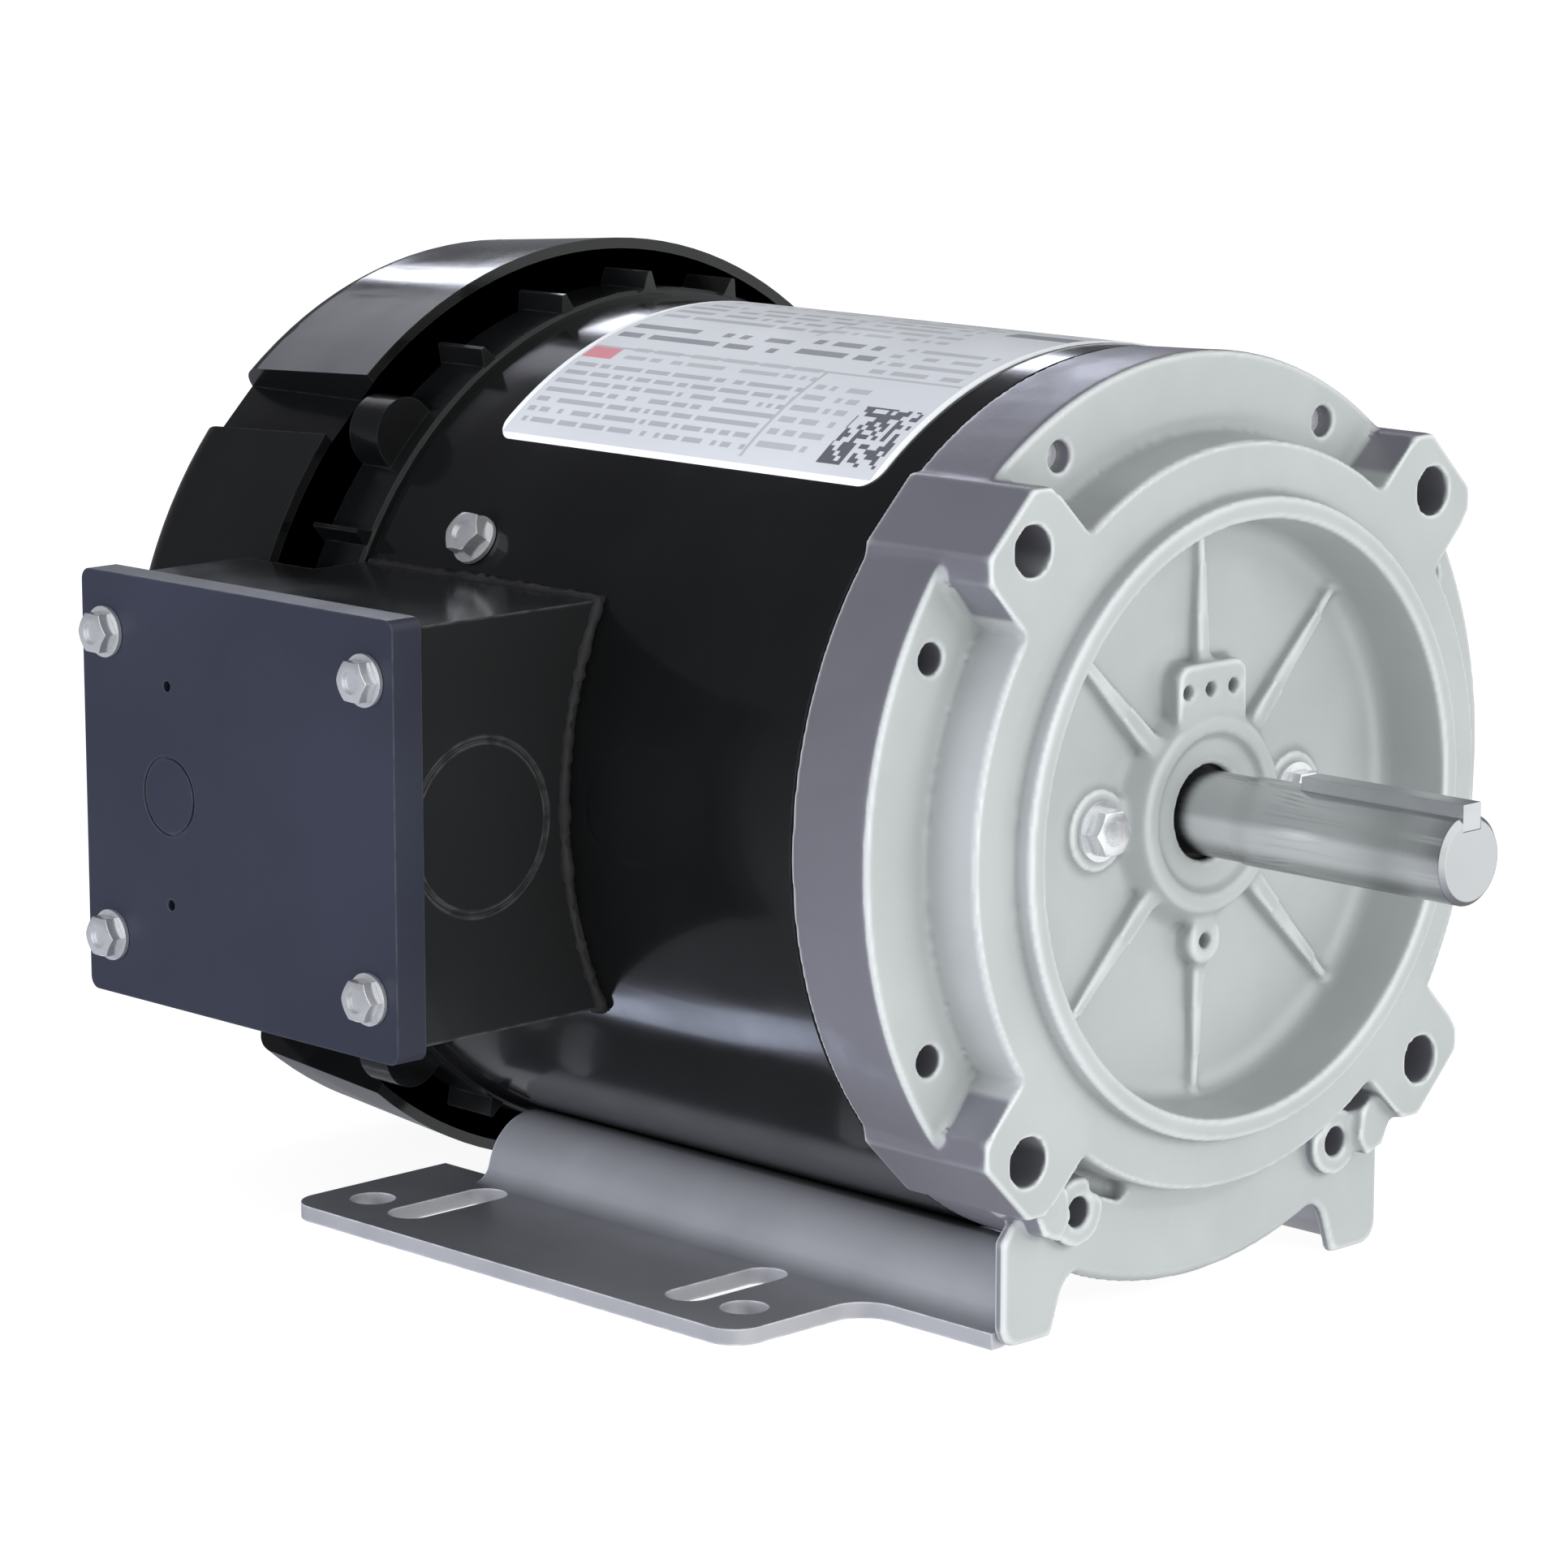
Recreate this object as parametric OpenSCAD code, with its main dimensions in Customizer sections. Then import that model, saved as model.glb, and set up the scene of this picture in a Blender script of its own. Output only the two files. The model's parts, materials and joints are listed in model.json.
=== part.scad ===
// Totally enclosed fan-cooled electric motor with a C-face, a foot base and a side terminal box.
// Row frame: the origin is the centre of the C-face, the shaft points along -Y, +Z is up and
// the terminal box is on the -X side. Lengths are millimetres.
//
// Most modules draw in a "shaft frame" and are stood up by on_shaft(): there z runs along the shaft,
// out of the drive end, x is the row's X and y is the row's Z. z = 0 is the C-face.

/* [Shaft] */
// Diameter of the output shaft
shaft_d = 15.875; // [15.5:0.025:15.9]
// How far the shaft stands out of the C-face
shaft_reach = 52.4; // [46:0.1:60]
// Width and height of the square key
key_size = 4.76; // [4:0.01:5]
// Length of the key
key_length = 35.8; // [25:0.1:40]

/* [C-face] */
// Diameter of the locating pilot
pilot_d = 114.3; // [113.5:0.1:115]
// Height of the pilot above the face
pilot_h = 4; // [3:0.1:5]
// Diameter of the circle through the four face holes
face_circle_d = 149.2; // [148.5:0.1:150]
// Diameter of a face hole
face_hole_d = 8.8; // [7.6:0.1:9.5]
// Depth of a face hole
face_hole_depth = 16; // [14:1:24]

/* [Frame] */
// Outer radius of the frame tube
frame_r = 80.5; // [80:0.1:80.8]
// Wall thickness of the frame tube
frame_wall = 2.6; // [2:0.1:2.8]
// Distance from the C-face to the front end of the tube
frame_front = 30; // [29:0.5:32]
// Distance from the C-face to the rear end of the tube
frame_rear = 150; // [149:0.5:151]

/* [Stator and rotor] */
// Length of the stack of laminations
stack_length = 60; // [50:1:62]
// Radius of the rotor
rotor_r = 44; // [40:0.5:44]
// Air gap between rotor and stator
air_gap = 0.35; // [0.25:0.05:0.6]
// Number of stator slots
stator_slots = 24; // [18, 24]
// Number of rotor bars
rotor_bars = 28; // [20:1:32]

/* [Base] */
// Height of the shaft above the mounting surface
shaft_height = 88.9; // [88.5:0.1:90]
// Thickness of the base sheet
base_sheet = 3; // [2.5:0.1:3]
// Distance between slot centres across the motor
slot_across = 123.95; // [122:0.05:126]
// Distance between slot centres along the motor
slot_along = 76.2; // [74:0.1:78]
// End-to-end length of a slot
slot_length = 27; // [20:0.5:27]
// Distance between round holes across the motor
hole_across = 139.7; // [138:0.1:141]
// Distance between round holes along the motor
hole_along = 101.6; // [100:0.1:103]
// Width of the slots and diameter of the round holes
foot_hole_d = 8.74; // [8:0.01:9]
// Overall width of the base
base_width = 164.6; // [163:0.2:170]

/* [Terminal box] */
// Length of the box cover along the motor
cover_length = 86.7; // [85:0.1:88]
// Height of the box cover
cover_height = 78; // [76:0.5:80]
// Distance from the shaft axis to the outside of the cover
cover_reach = 122; // [121:0.5:125]
// Distance from the C-face to the front edge of the cover
cover_front = 84.3; // [82:0.1:86]

/* [Fan end] */
// Radius of the fan cover's open rim
fan_cover_r = 91; // [90:0.1:91.5]
// Length of the fan cover
fan_cover_length = 42; // [41:0.5:44]
// Number of fan blades
fan_blades = 8; // [6:1:10]
// Tip radius of the fan
fan_r = 64; // [56:1:66]

/* [Hidden] */
$fn = 96;
eps = 0.01;

// Clearances
fit = 0.05;            // between parts that are pressed or bolted together
thread_gap = 0.02;     // between a screw's shank and its tapped hole

// Frame
frame_in = frame_r - frame_wall;
spigot_r = frame_in - fit;
stack_mid = -(frame_front + frame_rear) / 2 - 2;
stack_front = stack_mid + stack_length / 2;
stack_rear = stack_mid - stack_length / 2;

// Drive-end shield, as distances along the shaft
ring_face = -11;
hub_face = -5.1;
dish_floor = -10.5;
flange_r = 81.4;
pad_r = 66.6;
ear_reach = 82;
small_hole_r = 2.8;
leg_front = -7.8;
leg_back = -10.3;
leg_outer = 50.5;
leg_bottom = -(shaft_height - 0.5);
leg_boss_face = -4.6;
web_r = 85;                // lower edge of the web between the legs
hub_r = 17.3;
shaft_hole_r = 8.6;
slinger_groove_r = 11.2;
lower_boss_y = -23.2;

// Bearings: 17 mm bore, 40 mm outside, 12 mm wide
bearing_bore_r = 8.5;
bearing_out_r = 20;
bearing_w = 12;
ball_r = 3.35;
ball_pitch_r = 14.25;
ball_count = 8;
race_groove_r = ball_r + fit;
inner_race_r = 12.2;
outer_race_r = 16.3;
front_bearing_z = -24;     // middle of the front bearing
rear_bearing_z = -157;     // middle of the rear bearing
cap_screw_r = 26;
cap_screw_seat = dish_floor + 1.4;
seat_gap = 0.01;           // between a race and the shaft or housing it sits on
core_bore_r = 12.02;       // rotor core on the shaft

// Tie bolts pass inside the tube, in notches of the stator core
tie_x = 34.7;
tie_y = 66;
bolt_r = 2.4;

// Rear end
rear_face = -163;
rear_band_r = 82.3;
fan_rim = -165;
fan_back = fan_rim - fan_cover_length;
fan_wall = 2;
fan_cover_screw_r = 74;
recess_r = 82;
recess_half = 7.2;
lug_r = 6.9;
lug_x = 83.6;
rear_hub_r = 27.5;

// Base
foot_top = base_sheet - shaft_height;
slot_front = -65.05;
hole_front = -52.35;
foot_front = -42;
foot_rear = -164;
saddle_rear = -149;
saddle_r = frame_r + 0.1;
curl_r = 11;
base_root_x = 34;                                  // centre of the curl
curl_tilt = asin(base_root_x / (saddle_r + curl_r));
curl_y = -(saddle_r + curl_r) * cos(curl_tilt);
toe_r = 4;                                         // hollow fillet from riser to foot
toe_y = foot_top + toe_r;
toe_x = base_root_x + sqrt(pow(curl_r + toe_r, 2) - pow(toe_y - curl_y, 2));
toe_tilt = atan2(toe_y - curl_y, toe_x - base_root_x);
base_screw_z = [-46, -134];
leg_gap = 0.2;                                     // between the base and the back of the legs

// Terminal box
cover_sheet = 1.5;
cover_depth = 6.5;
box_wall = 1.6;
box_inset = 2;
box_front = -(cover_front + box_inset);
box_rear = -(cover_front + cover_length - box_inset);
box_mid = (box_front + box_rear) / 2;
box_half = cover_height / 2 - box_inset;
box_lip = cover_reach - cover_sheet - 1.05;        // distance of the box's open edge from the shaft axis
gasket_r = frame_r + fit;
box_seat_r = frame_r + 1.15;
box_step_z = 0.3 - frame_rear;                     // where the back of the box steps out over the fan cover
box_step_r = fan_cover_r + 2;
cover_screw_z = [-91.5, -164];
cover_screw_y = 28;
lead_z = -133;
lead_hole_r = 9;
box_screw_z = [-98, -120];
box_screw_tilt = 20;
cover_mark_z = -146.7;                              // ring and two small holes on the cover

// ---------- helpers ----------

// Stands the shaft frame up in the row frame.
module on_shaft() {
    rotate([90, 0, 0])
        children();
}

// Solid turned about the shaft from points given as [radius, distance along the shaft].
module turned(points) {
    rotate_extrude()
        polygon(points);
}

module ring(outer, inner, from, to) {
    translate([0, 0, min(from, to)])
        difference() {
            cylinder(r = outer, h = abs(to - from));
            translate([0, 0, -1])
                cylinder(r = inner, h = abs(to - from) + 2);
        }
}

// Rod along the shaft direction between two distances.
module rod(radius, from, to) {
    translate([0, 0, min(from, to)])
        cylinder(r = radius, h = abs(to - from));
}

// Puts a child at a radius and an angle, with its own z pointing outwards.
module pointing_out(radius, angle, z) {
    rotate([0, 0, angle])
        translate([radius, 0, z])
            rotate([0, 90, 0])
                children();
}

// Hexagon washer-head screw: the seat is z = 0, the head stands on +z and the shank goes down -z.
module hex_screw(washer_r, hex_r, head_h, shank_r, shank_l) {
    washer_h = 0.9;
    cylinder(r = washer_r, h = washer_h);
    difference() {
        intersection() {
            cylinder(r = hex_r, h = head_h, $fn = 6);
            cylinder(r1 = hex_r + 2 * head_h - 1, r2 = hex_r - 0.7, h = head_h);
        }
        translate([0, 0, head_h - 0.6])
            cylinder(r = hex_r * 0.5, h = 1);
    }
    translate([0, 0, -shank_l])
        cylinder(r = shank_r, h = shank_l + eps);
}

// Flat rectangle with round corners, centred.
module round_rect(width, height, radius) {
    square([width - 2 * radius, height], center = true);
    square([width, height - 2 * radius], center = true);
    for (sx = [-1, 1], sy = [-1, 1])
        translate([sx * (width / 2 - radius), sy * (height / 2 - radius)])
            circle(r = radius);
}

// Places a child at the centre of each of the four tie bolts.
module at_ties() {
    for (sx = [-1, 1], sy = [-1, 1])
        translate([sx * tie_x, sy * tie_y, 0])
            children();
}

// ---------- frame and shields ----------

module frame_shell() {
    color([0.03, 0.03, 0.035])
        on_shaft()
            difference() {
                ring(frame_r, frame_in, -frame_front - fit, -frame_rear + fit);
                box_screw_places(frame_in - 2)
                    cylinder(r = bolt_r + thread_gap, h = 10);
                base_screw_places(frame_in - 2)
                    cylinder(r = bolt_r + thread_gap, h = 10);
                frame_screw_place(frame_in - 2)
                    cylinder(r = bolt_r + thread_gap, h = 10);
                pointing_out(frame_in - 6, 180, lead_z)
                    cylinder(r = lead_hole_r, h = 12);
            }
}

// One tapered rib of the hub's dish, running out along +x.
module dish_rib() {
    rib_in = 17;
    rib_out = 51.4;
    hub_half = 2.1;        // half the rib's width at the hub
    rim_half = 0.8;
    intersection() {
        rotate([90, 0, 0])
            linear_extrude(height = 10, center = true)
                polygon([
                    [rib_in, dish_floor - 2], [rib_in, hub_face - 1.6], [rib_in + 7, dish_floor + 3],
                    [rib_out, dish_floor + 1.8], [rib_out, dish_floor - 2]
                ]);
        translate([0, 0, dish_floor - 3])
            linear_extrude(height = 20)
                polygon([
                    [rib_in, -hub_half], [rib_out, -rim_half], [rib_out, rim_half], [rib_in, hub_half]
                ]);
    }
}

// One C-face ear with its outer corners cut, along +x. It ends just short of the flange's back edge.
module face_ear() {
    ear_length = frame_front - 0.6;
    translate([0, 0, -ear_length])
        linear_extrude(height = ear_length)
            polygon([
                [58, -11.6], [78.6, -10.8], [ear_reach, -7.6],
                [ear_reach, 7.6], [78.6, 10.8], [58, 11.6]
            ]);
}

// Outline of the plate under the flange: a leg on the +x side and its half of the web.
module leg_outline() {
    inner_top = [33.6, -sqrt(web_r * web_r - 33.6 * 33.6)];
    inner_bottom = [38, leg_bottom];
    polygon([
        [30, -60], [46.5, -60], [46.5, -65.5], [48.2, -66.6], [leg_outer, -69.2],
        [leg_outer, leg_bottom + 3], [leg_outer - 1, leg_bottom + 1], [leg_outer - 3, leg_bottom],
        inner_bottom, inner_top + [1.8, -2.6], inner_top + [0.6, -0.8], inner_top + [-1.6, 0.1], [26, -70]
    ]);
}

// Cast leg on the +x side, with the boss round its tie bolt and the gusset up to the ear.
module cast_leg() {
    translate([0, 0, leg_back])
        linear_extrude(height = leg_front - leg_back)
            leg_outline();
    // root of the leg, inside the flange's edge
    translate([0, 0, ring_face - 3])
        linear_extrude(height = leg_back + 1 - ring_face + 3)
            intersection() {
                leg_outline();
                circle(r = flange_r - 0.7);
            }
    translate([tie_x, -tie_y, leg_back + 0.5])
        cylinder(r = 6.2, h = leg_boss_face - leg_back - 0.5);
    translate([0, 0, leg_back + 0.4])
        linear_extrude(height = -2.5 - leg_back - 0.4)
            polygon([[48, -63], [43, -58.4], [39.6, -60.5], [39, -66], [41.5, -69.6], [45.6, -68]]);
}

// Web between the legs: it stands proud of the ring and hangs a little below the flange.
module leg_web() {
    web_half = 32;
    intersection() {
        turned([
            [pad_r - 4, ring_face - 2], [flange_r - 0.8, ring_face - 2], [flange_r - 0.8, leg_back],
            [web_r, leg_back], [web_r - 0.4, leg_front - 1.2], [web_r - 1.6, leg_front],
            [71.6, leg_front], [pad_r - 4, leg_front + 3]
        ]);
        translate([-web_half, -90, ring_face - 5])
            cube([2 * web_half, 36, 20]);
    }
}

// Pockets left in the web beside the lower ears.
module web_pockets() {
    for (side = [0, 1])
        mirror([side, 0, 0])
            intersection() {
                ring(70.2, pad_r - 2, ring_face - 2, 5);
                translate([0, 0, ring_face - 3])
                    linear_extrude(height = 20)
                        polygon([[20, -70], [20, -64], [24, -50], [34, -50], [31, -66]]);
            }
}

module front_hub_bosses() {
    boss_base = dish_floor - 1;
    // plate with the three small holes
    translate([0.4, 20.5, boss_base])
        linear_extrude(height = hub_face - 0.9 - boss_base)
            round_rect(18, 13, 3);
    translate([0, lower_boss_y, boss_base]) {
        cylinder(r = 4.2, h = hub_face - 1.4 - boss_base);
        translate([-3.4, 0, 0])
            cube([6.8, 9, hub_face - 1.9 - boss_base]);
    }
    for (side = [-1, 1])
        translate([side * cap_screw_r, 0, boss_base])
            cylinder(r = 7.4, h = 2.7);
    for (angle = [45, 90, 135, 225, 270, 315])
        rotate([0, 0, angle])
            dish_rib();
}

module front_endshield() {
    rear_lip = -frame_front - 6;
    pilot_r = pilot_d / 2;
    bore_floor = front_bearing_z + bearing_w / 2 + fit;
    housing_end = front_bearing_z - bearing_w / 2 - 1;
    color([0.74, 0.77, 0.77])
        on_shaft()
            difference() {
                union() {
                    turned([
                        [shaft_hole_r, hub_face - 1.4], [14.3, hub_face - 1.4], [14.3, hub_face],
                        [hub_r, hub_face], [hub_r + 0.7, hub_face - 0.7], [hub_r + 3.3, dish_floor],
                        [49.2, dish_floor], [51, dish_floor + 0.9], [51.8, dish_floor + 2.4],
                        [53.2, pilot_h], [pilot_r - 0.5, pilot_h], [pilot_r, pilot_h - 0.5],
                        [pilot_r, 0], [pad_r - 0.4, 0], [pad_r, -0.4],
                        [pad_r + 0.4, ring_face], [flange_r - 0.5, ring_face],
                        [flange_r, ring_face - 0.6], [flange_r - 0.8, -frame_front],
                        [spigot_r, -frame_front], [spigot_r, rear_lip], [70, rear_lip],
                        [69.5, -24], [66, -18], [64.5, -7], [56.5, -7], [54.5, -18],
                        [31, -18.5], [31, housing_end],
                        [bearing_out_r + thread_gap, housing_end],
                        [bearing_out_r + thread_gap, bore_floor], [9.5, bore_floor], [9.5, -14.5],
                        [slinger_groove_r, -14.5], [slinger_groove_r, -9], [shaft_hole_r, -9]
                    ]);
                    for (angle = [45:90:315])
                        rotate([0, 0, angle])
                            face_ear();
                    difference() {
                        union() {
                            for (side = [0, 1])
                                mirror([side, 0, 0])
                                    cast_leg();
                            leg_web();
                        }
                        rod(pad_r - 1, ring_face - 30, 10);
                        web_pockets();
                    }
                    front_hub_bosses();
                }
                for (angle = [45:90:315])
                    rotate([0, 0, angle])
                        translate([face_circle_d / 2, 0, 0])
                            rod(face_hole_d / 2, -face_hole_depth, 1);
                // blind holes beside the side ears
                for (sx = [-1, 1], sy = [-1, 1])
                    translate([sx * tie_y, sy * tie_x, ring_face - 12])
                        cylinder(r = small_hole_r, h = 30);
                // tie bolts: thread, then an open hole in front of it
                at_ties() {
                    rod(bolt_r + thread_gap, rear_lip - 1, ring_face - 3);
                    rod(small_hole_r, ring_face - 3, 10);
                }
                for (side = [-1, 1])
                    translate([side * cap_screw_r, 0, 0]) {
                        rod(2.7, housing_end - 1, 0);
                        rod(5.7, cap_screw_seat, 0);
                    }
                for (x = [-6, 0, 6])
                    translate([x, 22.2, 0])
                        rod(1.35, -11, 0);
                translate([0, lower_boss_y, 0])
                    rod(1.5, -11, 0);
            }
}

// Short pointed fin on the rear shield's band, along +x.
module band_fin() {
    translate([0, 0, rear_face])
        linear_extrude(height = 12.5)
            polygon([[81, -2], [85.6, -0.4], [85.6, 0.4], [81, 2]]);
}

// Round-ended lug that reaches out under a recess of the fan cover, along +x.
module rear_lug() {
    translate([0, 0, rear_face + 1])
        linear_extrude(height = 8) {
            translate([70, -lug_r])
                square([lug_x - 70, 2 * lug_r]);
            translate([lug_x, 0])
                circle(r = lug_r);
        }
    // post that takes the fan cover's screw
    translate([fan_cover_screw_r, 0, fan_rim - 5])
        cylinder(r = 5, h = 8);
}

module rear_endshield() {
    front_lip = -frame_rear + 6;
    spring_seat = rear_bearing_z - bearing_w / 2 - 2.4;
    housing_end = rear_bearing_z + bearing_w / 2 + 1;
    housing_r = bearing_out_r + thread_gap;
    color([0.035, 0.035, 0.04])
        on_shaft()
            difference() {
                union() {
                    turned([
                        [housing_r, housing_end], [rear_hub_r - 1.5, housing_end],
                        [rear_hub_r, -156.5], [70, -157], [71, front_lip], [spigot_r, front_lip],
                        [spigot_r, -frame_rear], [rear_band_r - 0.6, -frame_rear],
                        [rear_band_r, -frame_rear - 0.8], [rear_band_r, rear_face + 1],
                        [rear_band_r - 1, rear_face], [34, rear_face], [28, rear_face - 5],
                        [8.2, rear_face - 5], [8.2, spring_seat], [housing_r, spring_seat]
                    ]);
                    for (angle = [0:15:345])
                        if (angle % 90 != 45)
                            rotate([0, 0, angle])
                                band_fin();
                    for (angle = [45:90:315])
                        rotate([0, 0, angle])
                            rear_lug();
                }
                at_ties()
                    rod(small_hole_r, rear_face - 10, front_lip + 1);
                for (angle = [45:90:315])
                    rotate([0, 0, angle])
                        translate([fan_cover_screw_r, 0, 0])
                            rod(2 + thread_gap, fan_rim - 6, rear_face + 2);
            }
}

// Solid outline of the fan cover, shrunk by the given amount.
module fan_cover_form(shrink, front, back) {
    corner = 8 - shrink;
    taper = 2.6;
    side = fan_cover_r - shrink;
    difference() {
        rotate_extrude() {
            polygon([
                [0, front], [side, front], [side - taper, back + corner],
                [side - taper - corner, back], [0, back]
            ]);
            translate([side - taper - corner, back + corner])
                intersection() {
                    circle(r = corner);
                    translate([0, -corner])
                        square([corner, corner]);
                }
        }
        for (angle = [45:90:315])
            rotate([0, 0, angle])
                translate([recess_r - shrink, -recess_half - shrink, back - 1])
                    cube([20, 2 * (recess_half + shrink), front - back + 2]);
        translate([-100, -shaft_height - 18.5 + shrink, back - 1])
            cube([200, 20, front - back + 2]);
    }
}

module fan_grille() {
    difference() {
        for (r = [14:9:41])
            ring(r + 5, r, fan_back - 1, fan_back + 5);
        for (angle = [0:45:135])
            rotate([0, 0, angle])
                cube([140, 4, 500], center = true);
    }
}

module fan_cover() {
    color([0.03, 0.03, 0.035])
        on_shaft()
            difference() {
                union() {
                    difference() {
                        fan_cover_form(0, fan_rim, fan_back);
                        fan_cover_form(fan_wall, fan_rim + 1, fan_back + 2.6);
                    }
                    // stiffening ribs inside the wall
                    intersection() {
                        fan_cover_form(0.5, fan_rim - 0.3, fan_back + 1);
                        for (angle = [0:22.5:337.5])
                            if (angle % 90 != 45)
                                rotate([0, 0, angle])
                                    translate([0, 0, fan_back + 1])
                                        linear_extrude(height = fan_cover_length - 1.3)
                                            polygon([[91, -3.4], [84.6, 0], [91, 3.4]]);
                    }
                    for (angle = [45:90:315])
                        rotate([0, 0, angle])
                            translate([fan_cover_screw_r, 0, 0])
                                rod(5, fan_rim - 5 - fit, fan_back + 1);
                }
                fan_grille();
                for (angle = [45:90:315])
                    rotate([0, 0, angle])
                        translate([fan_cover_screw_r, 0, 0]) {
                            rod(2.3, fan_back - 1, fan_rim);
                            rod(4.6, fan_back - 1, fan_back + 4);
                        }
            }
}

module fan_cover_screws() {
    color([0.75, 0.76, 0.78])
        on_shaft()
            for (angle = [45:90:315])
                rotate([0, 0, angle])
                    translate([fan_cover_screw_r, 0, fan_back + 4 - fit])
                        rotate([180, 0, 0])
                            hex_screw(4.3, 3.6, 3.4, 2, fan_cover_length - 2);
}

// ---------- fan ----------

module cooling_fan() {
    fan_front = rear_face - 8;
    disc_z = fan_front - 3;
    fan_end = fan_front - 24;
    color([0.09, 0.1, 0.11])
        on_shaft()
            difference() {
                union() {
                    turned([
                        [7 + thread_gap, fan_front], [12, fan_front], [12.5, disc_z],
                        [fan_r - 2, disc_z - 1], [fan_r - 2, disc_z - 3], [13, disc_z - 3],
                        [12, fan_end + 8], [7 + thread_gap, fan_end + 8]
                    ]);
                    for (k = [0:fan_blades - 1])
                        rotate([0, 0, k * 360 / fan_blades])
                            rotate([90, 0, 0])
                                linear_extrude(height = 2.2, center = true)
                                    polygon([
                                        [11.5, disc_z - 2], [fan_r, disc_z - 0.5],
                                        [fan_r, fan_end], [34, fan_end], [22, fan_end + 8],
                                        [11.5, fan_end + 8]
                                    ]);
                }
                rod(7 + thread_gap, fan_end - 1, fan_front + 1);
            }
}

module fan_clip() {
    clip_z = rear_face - 24.5;
    color([0.35, 0.36, 0.38])
        on_shaft()
            difference() {
                ring(10, 6.55, clip_z, clip_z - 1);
                translate([-1.2, 0, clip_z - 2])
                    cube([2.4, 12, 4]);
            }
}

// ---------- rotor ----------

module shaft() {
    shaft_r = shaft_d / 2;
    seat_r = bearing_bore_r - seat_gap;
    seat_front = front_bearing_z + bearing_w / 2 + 0.6;
    seat_rear = rear_bearing_z - bearing_w / 2 - 0.6;
    front_shoulder = front_bearing_z - bearing_w / 2 - fit;
    rear_shoulder = rear_bearing_z + bearing_w / 2 + fit;
    keyseat_y = 5.19;
    groove_z = rear_face - 24.4;
    tail = rear_face - 28;
    color([0.72, 0.73, 0.75])
        on_shaft()
            difference() {
                turned([
                    [0, shaft_reach], [shaft_r - 0.9, shaft_reach], [shaft_r, shaft_reach - 0.9],
                    [shaft_r, 4.8], [7.6, 4.2], [7.6, seat_front], [seat_r, seat_front - 0.5],
                    [seat_r, front_shoulder], [10.5, front_shoulder], [10.5, stack_front + 6],
                    [12, stack_front + 6], [12, stack_rear - 2], [10.5, stack_rear - 3],
                    [10.5, rear_shoulder], [seat_r, rear_shoulder], [seat_r, seat_rear],
                    [7, seat_rear - 0.6], [7, groove_z], [6.5, groove_z], [6.5, groove_z - 1.2],
                    [7, groove_z - 1.2], [7, tail + 1], [6, tail], [0, tail]
                ]);
                translate([-key_size / 2, keyseat_y, shaft_reach - key_length])
                    cube([key_size, 10, key_length + 1]);
            }
}

module shaft_key() {
    side = key_size - 0.02;
    color([0.6, 0.61, 0.63])
        on_shaft()
            translate([-side / 2, 5.2, shaft_reach - key_length + 0.02])
                cube([side, side, key_length - 0.12]);
}

module shaft_slinger() {
    color([0.05, 0.05, 0.05])
        on_shaft()
            turned([
                [7.62, -9.4], [slinger_groove_r - 0.6, -9.4], [slinger_groove_r - 0.6, -10.6],
                [8.3, -11.2], [8.3, -14], [7.62, -14]
            ]);
}

module rotor_core() {
    bar_pitch_r = rotor_r - 6;
    color([0.42, 0.43, 0.45])
        on_shaft()
            difference() {
                ring(rotor_r, core_bore_r, stack_rear, stack_front);
                for (k = [0:rotor_bars - 1])
                    rotate([0, 0, k * 360 / rotor_bars])
                        translate([bar_pitch_r, 0, 0])
                            rod(2.6, stack_rear - 1, stack_front + 1);
            }
}

module rotor_cage() {
    bar_pitch_r = rotor_r - 6;
    end_ring = 8;
    color([0.7, 0.71, 0.72])
        on_shaft() {
            for (k = [0:rotor_bars - 1])
                rotate([0, 0, k * 360 / rotor_bars])
                    translate([bar_pitch_r, 0, 0])
                        rod(2.58, stack_rear - 1, stack_front + 1);
            for (place = [[stack_front + fit, 1], [stack_rear - fit, -1]]) {
                ring(bar_pitch_r + 4, bar_pitch_r - 9, place[0], place[0] + place[1] * end_ring);
                for (k = [0:6])
                    rotate([0, 0, k * 360 / 7])
                        translate([bar_pitch_r - 2.5, 0, place[0] + place[1] * (end_ring + 3)])
                            cube([9, 2, 8], center = true);
            }
        }
}

// ---------- stator ----------

module stator_slot(widen, z0, z1) {
    translate([0, 0, z0])
        linear_extrude(height = z1 - z0)
            translate([47.2 - widen, -2.7 - widen])
                square([15.2 + 2 * widen, 5.4 + 2 * widen]);
}

module stator_core() {
    bore_r = rotor_r + air_gap;
    color([0.36, 0.37, 0.39])
        on_shaft()
            difference() {
                ring(frame_in - fit, bore_r, stack_rear, stack_front);
                for (k = [0:stator_slots - 1])
                    rotate([0, 0, (k + 0.5) * 360 / stator_slots]) {
                        stator_slot(0.15, stack_rear - 1, stack_front + 1);
                        translate([bore_r - 2, -1.1, stack_rear - 1])
                            cube([6, 2.2, stack_length + 2]);
                    }
                at_ties()
                    rod(3.2, stack_rear - 1, stack_front + 1);
            }
}

module stator_windings() {
    color([0.62, 0.3, 0.12])
        on_shaft() {
            for (k = [0:stator_slots - 1])
                rotate([0, 0, (k + 0.5) * 360 / stator_slots])
                    stator_slot(0, stack_rear - 1, stack_front + 1);
            for (end = [[stack_front + 0.5, 1], [stack_rear - 0.5, -1]])
                rotate_extrude()
                    polygon([
                        [47.4, end[0]], [46.6, end[0] + end[1] * 5], [48.5, end[0] + end[1] * 16],
                        [53, end[0] + end[1] * 20], [62, end[0] + end[1] * 20],
                        [67.5, end[0] + end[1] * 15], [68.5, end[0] + end[1] * 6], [63, end[0]]
                    ]);
        }
}

// ---------- bearings ----------

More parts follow.
